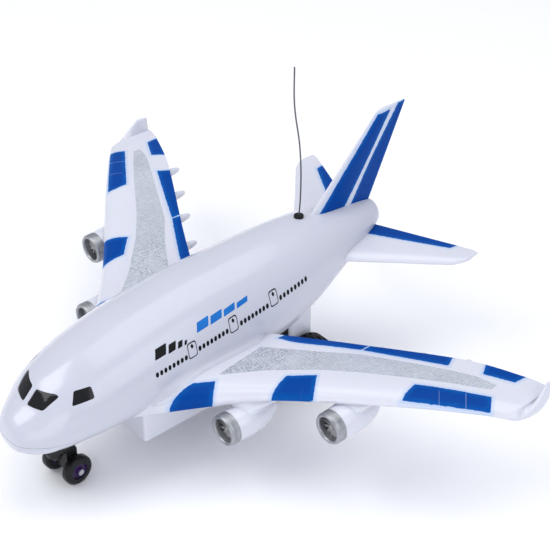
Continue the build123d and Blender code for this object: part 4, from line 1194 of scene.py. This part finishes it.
half, front, back, bottom, top = BELLY
inner = half - WALL
below = bottom - WALL
slot_half, slot_front, slot_back = SWITCH_SLOT
belly = rounded_box("belly_box", *BELLY)
cut(
    belly,
    cutter(*box_mesh(-inner, inner, front + WALL, BATTERY_DOOR_BACK, below, bottom + BATTERY_BAY_HEIGHT)),
    cutter(*box_mesh(-inner, inner, front + WALL, back - WALL, bottom + WALL, top + 4)),
    cutter(*box_mesh(-slot_half, slot_half, slot_front, slot_back, below, bottom + 4)),
    *[drill(below, bottom + 3, SCREW_HOLE_RADIUS, (x, SCREW_Y, 0), "z", 24) for x in SCREW_X],
)
half, front, back, bottom, top = POD
inner = half - WALL
pod = rounded_box("wheel_pod", *POD)
cut(
    pod,
    cutter(*box_mesh(-inner, inner, front - 5, back - WALL, bottom + 1, top + 4)),
    drill(-30, 30, AXLE_HOLE_RADIUS, DRIVE_AXLE, "x", 40),
)
# the belly box and pod take the white painted lighter, as if more brightly lit than the fuselage
for made in (belly, pod):
    made.data.materials.clear()
    made.data.materials.append(PAINTED_LIGHTER_WHITE)
    smooth(made.data, 35)
boss_profile = [(31.9, 1.3), (31.9, 7.2), (32.3, 7.8), (33.0, 8.0), (46.0, 8.0)]
piece("nose_boss", *lathe(boss_profile, (0, -128.3, 0), "z", 48))
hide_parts("fuselage_lower_shell")

# ---- antenna
ANTENNA_X = -2.5
ANTENNA_LINE = [(67.3, 98.0), (69.3, 125.0), (68.4, 155.0), (63.4, 190.0), (63.2, 214.4)]
curve = bpy.data.curves.new("antenna", "CURVE")
curve.dimensions = "3D"
curve.bevel_depth = 0.5 * MM
curve.bevel_resolution = 4
curve.use_fill_caps = True
line = curve.splines.new("BEZIER")
line.bezier_points.add(len(ANTENNA_LINE) - 1)
for point, (y, z) in zip(line.bezier_points, ANTENNA_LINE):
    point.co = Vector((ANTENNA_X, y, z)) * MM
    point.handle_left_type = point.handle_right_type = "AUTO"
line.resolution_u = 16
curve.materials.append(MATERIALS["wire_coated"])
antenna = placed("antenna", curve)
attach(antenna, "airframe")
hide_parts("antenna_wire")

# ---- finishes of the CAD's own pieces
for name, node in NODES.items():
    node.data.materials.clear()
    node.data.materials.append(MATERIALS[SLOT_OF[name]])
    smooth(node.data, 30)

# ---- stage, lights and camera
floor_mesh = bpy.data.meshes.new("floor")
floor_mesh.from_pydata([(-3, -3, 0), (3, -3, 0), (3, 3, 0), (-3, 3, 0)], [], [(0, 1, 2, 3)])
floor = placed("floor", floor_mesh)
n = Nodes("floor")
n.set(
    Base_Color=n.blend(n.noise(3.0), (0.99, 0.99, 1.0, 1), (0.96, 0.96, 0.98, 1)),
    Roughness=n.varied(5.0, 0.7, 0.85),
)
floor_mesh.materials.append(n.material)


def area_light(name, place, size, power, colour=(1, 1, 1)):
    """A soft square light at place, facing the toy."""
    light = bpy.data.lights.new(name, "AREA")
    light.size = size
    light.energy = power
    light.color = colour
    made = placed(name, light)
    made.location = place
    made.rotation_euler = (Vector((0, 0, 0.05)) - Vector(place)).to_track_quat("-Z", "Y").to_euler()


area_light("key", (-0.5, -0.9, 1.3), 0.9, 9.3)
area_light("fill", (1.3, 0.1, 0.9), 1.0, 4.4, (0.93, 0.95, 1.0))
area_light("top", (0.0, 0.3, 1.5), 1.2, 6.9)
area_light("front", (1.0, -1.2, 0.30), 1.0, 4.2)
world = bpy.data.worlds.new("studio")
bpy.context.scene.world = world
world.use_nodes = True
world.node_tree.nodes["Background"].inputs["Color"].default_value = (0.90, 0.93, 1.0, 1)
world.node_tree.nodes["Background"].inputs["Strength"].default_value = 0.62

BACK = Vector((0.61403, -0.52676, 0.58779)).normalized()
RIGHT = Vector((-BACK.y, BACK.x, 0)).normalized()
UP = BACK.cross(RIGHT)
camera_data = bpy.data.cameras.new("camera")
camera_data.sensor_width = 36.0
camera_data.lens = 95.74
camera = placed("camera", camera_data)
turn = Matrix((RIGHT, UP, BACK)).transposed().to_4x4()
camera.matrix_world = Matrix.Translation(Vector((577.13, -449.29, 624.20)) * MM) @ turn
bpy.context.scene.camera = camera
bpy.context.scene.view_settings.view_transform = "Standard"
